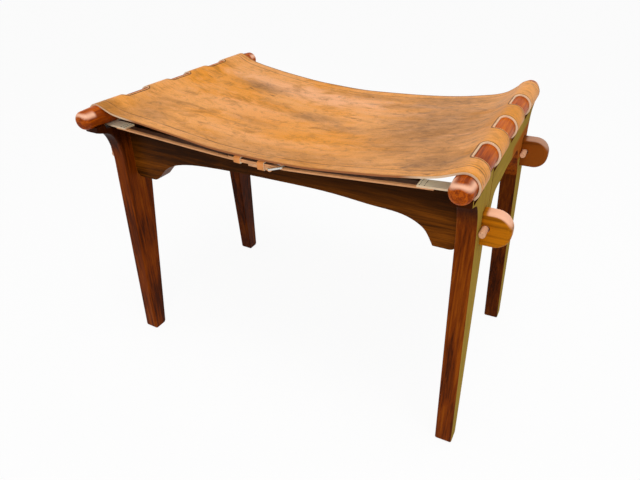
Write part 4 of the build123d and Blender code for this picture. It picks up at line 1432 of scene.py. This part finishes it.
class STOOL_OT_woodwork(bpy.types.Operator):
    """Lacquer the legs, aprons and rails, and leave the pegs bare"""

    bl_idname = "stool.woodwork"
    bl_label = "Woodwork"

    def execute(self, context):
        colours = context.scene.stool_colours
        leg_tones = (colours.wood_deep, colours.wood_mid, colours.wood_bright)
        rail_tones = (colours.rail_deep, colours.rail_mid, colours.rail_bright)
        apron_tones = (colours.apron_deep, colours.apron_mid, colours.apron_bright)

        front_leg = Wood("front_leg_wood", "Z", leg_tones)
        front_leg.paint_seat_shade(*LEG_SEAT_SHADE)
        front_leg.paint_outer_reflection(colours.olive_reflection)
        # The rear legs are the legs' wood darkened as painted shade
        rear_leg = Wood("rear_leg_wood", "Z", [toned(tone, REAR_SHADE_SHARE) for tone in leg_tones])
        rear_leg.paint_outer_reflection(colours.olive_reflection, colours.tenon_reflection)
        legs = {"front": front_leg.finish(), "rear": rear_leg.finish()}
        end_apron = Wood("end_apron_wood", "Y", leg_tones)
        end_apron.paint_outer_reflection(colours.olive_reflection, colours.tenon_reflection)

        paddles = {
            "front": (colours.front_paddle, colours.painted_light),
            "rear": (colours.rear_paddle, toned(colours.painted_light, REAR_SHADE_SHARE)),
        }
        for end_name, (paddle, painted_light) in paddles.items():
            apron = Wood(f"{end_name}_apron_wood", "X", apron_tones)
            apron.paint_seat_shade(*APRON_SEAT_SHADE)
            apron.paint_ends(paddle)
            apron.paint_highlight(painted_light, "X", PADDLE_HIGHLIGHT_START)
            dress(f"side_apron_{end_name}", apron.finish())

        rail = Wood("rail_wood", "Y", rail_tones, sheen=0.02, gloss=0.1)
        rail.paint_highlight(colours.painted_light, "Y", RAIL_HIGHLIGHT_START, RAIL_LEVEL_TOPS)
        peg = Wood("peg_wood", "Y", (toned(colours.peg, PEG_LINE_SHARE), colours.peg, colours.peg))
        rail, end_apron, peg = rail.finish(), end_apron.finish(), peg.finish()
        for side_name in SIDES:
            dress(f"rail_{side_name}", rail)
            dress(f"rail_dowels_{side_name}", peg)
            dress(f"end_apron_{side_name}", end_apron)
            for end_name in ENDS:
                dress(f"leg_{end_name}_{side_name}", legs[end_name])
                dress(f"peg_{end_name}_{side_name}", peg)
        return {"FINISHED"}


class STOOL_OT_buckles(bpy.types.Operator):
    """Finish the buckles and their prongs in bright steel"""

    bl_idname = "stool.buckles"
    bl_label = "Buckles"

    def execute(self, context):
        steel = steel_material()
        for name in BELTS:
            dress(f"buckle_{name}", steel)
            dress(f"prong_{name}", steel)
        return {"FINISHED"}


# Stage

WHITE = (1, 1, 1, 1)


def seen_rays(tree):
    """1 for rays from the camera, off gloss and through glass, which see the backdrop, and 0 for others."""
    path = add_node(tree, "ShaderNodeLightPath")
    seen = math_node(tree, "ADD", path.outputs["Is Camera Ray"], path.outputs["Is Glossy Ray"], clamp=True)
    return math_node(tree, "ADD", seen, path.outputs["Is Transmission Ray"], clamp=True)


def floor_material():
    """Pale floor that the camera and mirrors see near white, and that gives little light."""
    scene = bpy.context.scene
    material, tree, shader = new_material("floor_paint", Roughness=0.9)
    shader.inputs["Base Color"].default_value = opaque(scene.stool_colours.floor)
    glow = add_node(tree, "ShaderNodeEmission", {"Color": WHITE, "Strength": 1.0})
    amount = times(tree, seen_rays(tree), scene.stool_stage.floor_seen)
    mixed = add_node(
        tree, "ShaderNodeMixShader", {0: amount, 1: shader.outputs[0], 2: glow.outputs[0]}
    )
    tree.links.new(mixed.outputs[0], tree.nodes["Material Output"].inputs["Surface"])
    return material


def area_lamp(name, place, target, width, power):
    """Soft square lamp that faces a point."""
    data = bpy.data.lights.new(name, "AREA")
    data.size = width
    data.energy = power
    lamp = bpy.data.objects.new(name, data)
    lamp.location = place
    lamp.rotation_euler = (Vector(target) - Vector(place)).to_track_quat("-Z", "Y").to_euler()
    bpy.context.scene.collection.objects.link(lamp)


class STOOL_OT_stage(bpy.types.Operator):
    """Set the camera, the lamps and the plain pale floor"""

    bl_idname = "stool.stage"
    bl_label = "Stage"

    def execute(self, context):
        scene = context.scene
        stage = scene.stool_stage
        data = bpy.data.cameras.new("camera")
        data.sensor_width = stage.sensor
        data.lens = stage.lens
        camera = bpy.data.objects.new("camera", data)
        camera.matrix_world = (
            Matrix.Translation(stage.eye)
            @ Matrix.Rotation(stage.yaw, 4, "Z")
            @ Matrix.Rotation(math.radians(90) - stage.pitch, 4, "X")
            @ Matrix.Rotation(stage.roll, 4, "Z")
        )
        scene.collection.objects.link(camera)
        scene.camera = camera

        bm = bmesh.new()
        bmesh.ops.create_grid(bm, x_segments=1, y_segments=1, size=stage.floor / 2)
        mesh = bpy.data.meshes.new("floor")
        bm.to_mesh(mesh)
        bm.free()
        mesh.materials.append(floor_material())
        floor = bpy.data.objects.new("floor", mesh)
        scene.collection.objects.link(floor)

        world = bpy.data.worlds.new("sky")
        scene.world = world
        world.use_nodes = True
        tree = world.node_tree
        background = tree.nodes["Background"]
        background.inputs["Color"].default_value = WHITE
        tree.links.new(between(tree, seen_rays(tree), stage.sky, 1), background.inputs["Strength"])

        area_lamp("key", stage.key, stage.lit, stage.key_width, stage.key_power)
        area_lamp("fill", stage.fill, stage.lit, stage.fill_width, stage.fill_power)
        scene.view_settings.view_transform = "Standard"
        return {"FINISHED"}


OPERATORS = (
    STOOL_OT_stage,
    STOOL_OT_woodwork,
    STOOL_OT_buckles,
    STOOL_OT_seat,
    STOOL_OT_straps,
    STOOL_OT_keepers,
    STOOL_OT_stitches,
)


class STOOL_PT_panel(bpy.types.Panel):
    """Lists the stool's pieces and their sizes"""

    bl_idname = "STOOL_PT_panel"
    bl_label = "Sling stool"
    bl_space_type = "VIEW_3D"
    bl_region_type = "UI"
    bl_category = "Stool"

    def draw(self, context):
        for operator in OPERATORS:
            self.layout.operator(operator.bl_idname, text=operator.bl_label)
        for group in GROUPS:
            values = getattr(context.scene, group)
            for name in values.bl_rna.properties.keys():
                if name not in ("rna_type", "name"):
                    self.layout.prop(values, name)


def register():
    for group, kind in GROUPS.items():
        bpy.utils.register_class(kind)
        setattr(bpy.types.Scene, group, bpy.props.PointerProperty(type=kind))
    for kind in (*OPERATORS, STOOL_PT_panel):
        bpy.utils.register_class(kind)


def unregister():
    for kind in reversed((*OPERATORS, STOOL_PT_panel)):
        bpy.utils.unregister_class(kind)
    for group, kind in reversed(GROUPS.items()):
        delattr(bpy.types.Scene, group)
        bpy.utils.unregister_class(kind)


def main():
    register()
    for operator in OPERATORS:
        family, call = operator.bl_idname.split(".")
        getattr(getattr(bpy.ops, family), call)()


if __name__ == "__main__":
    main()
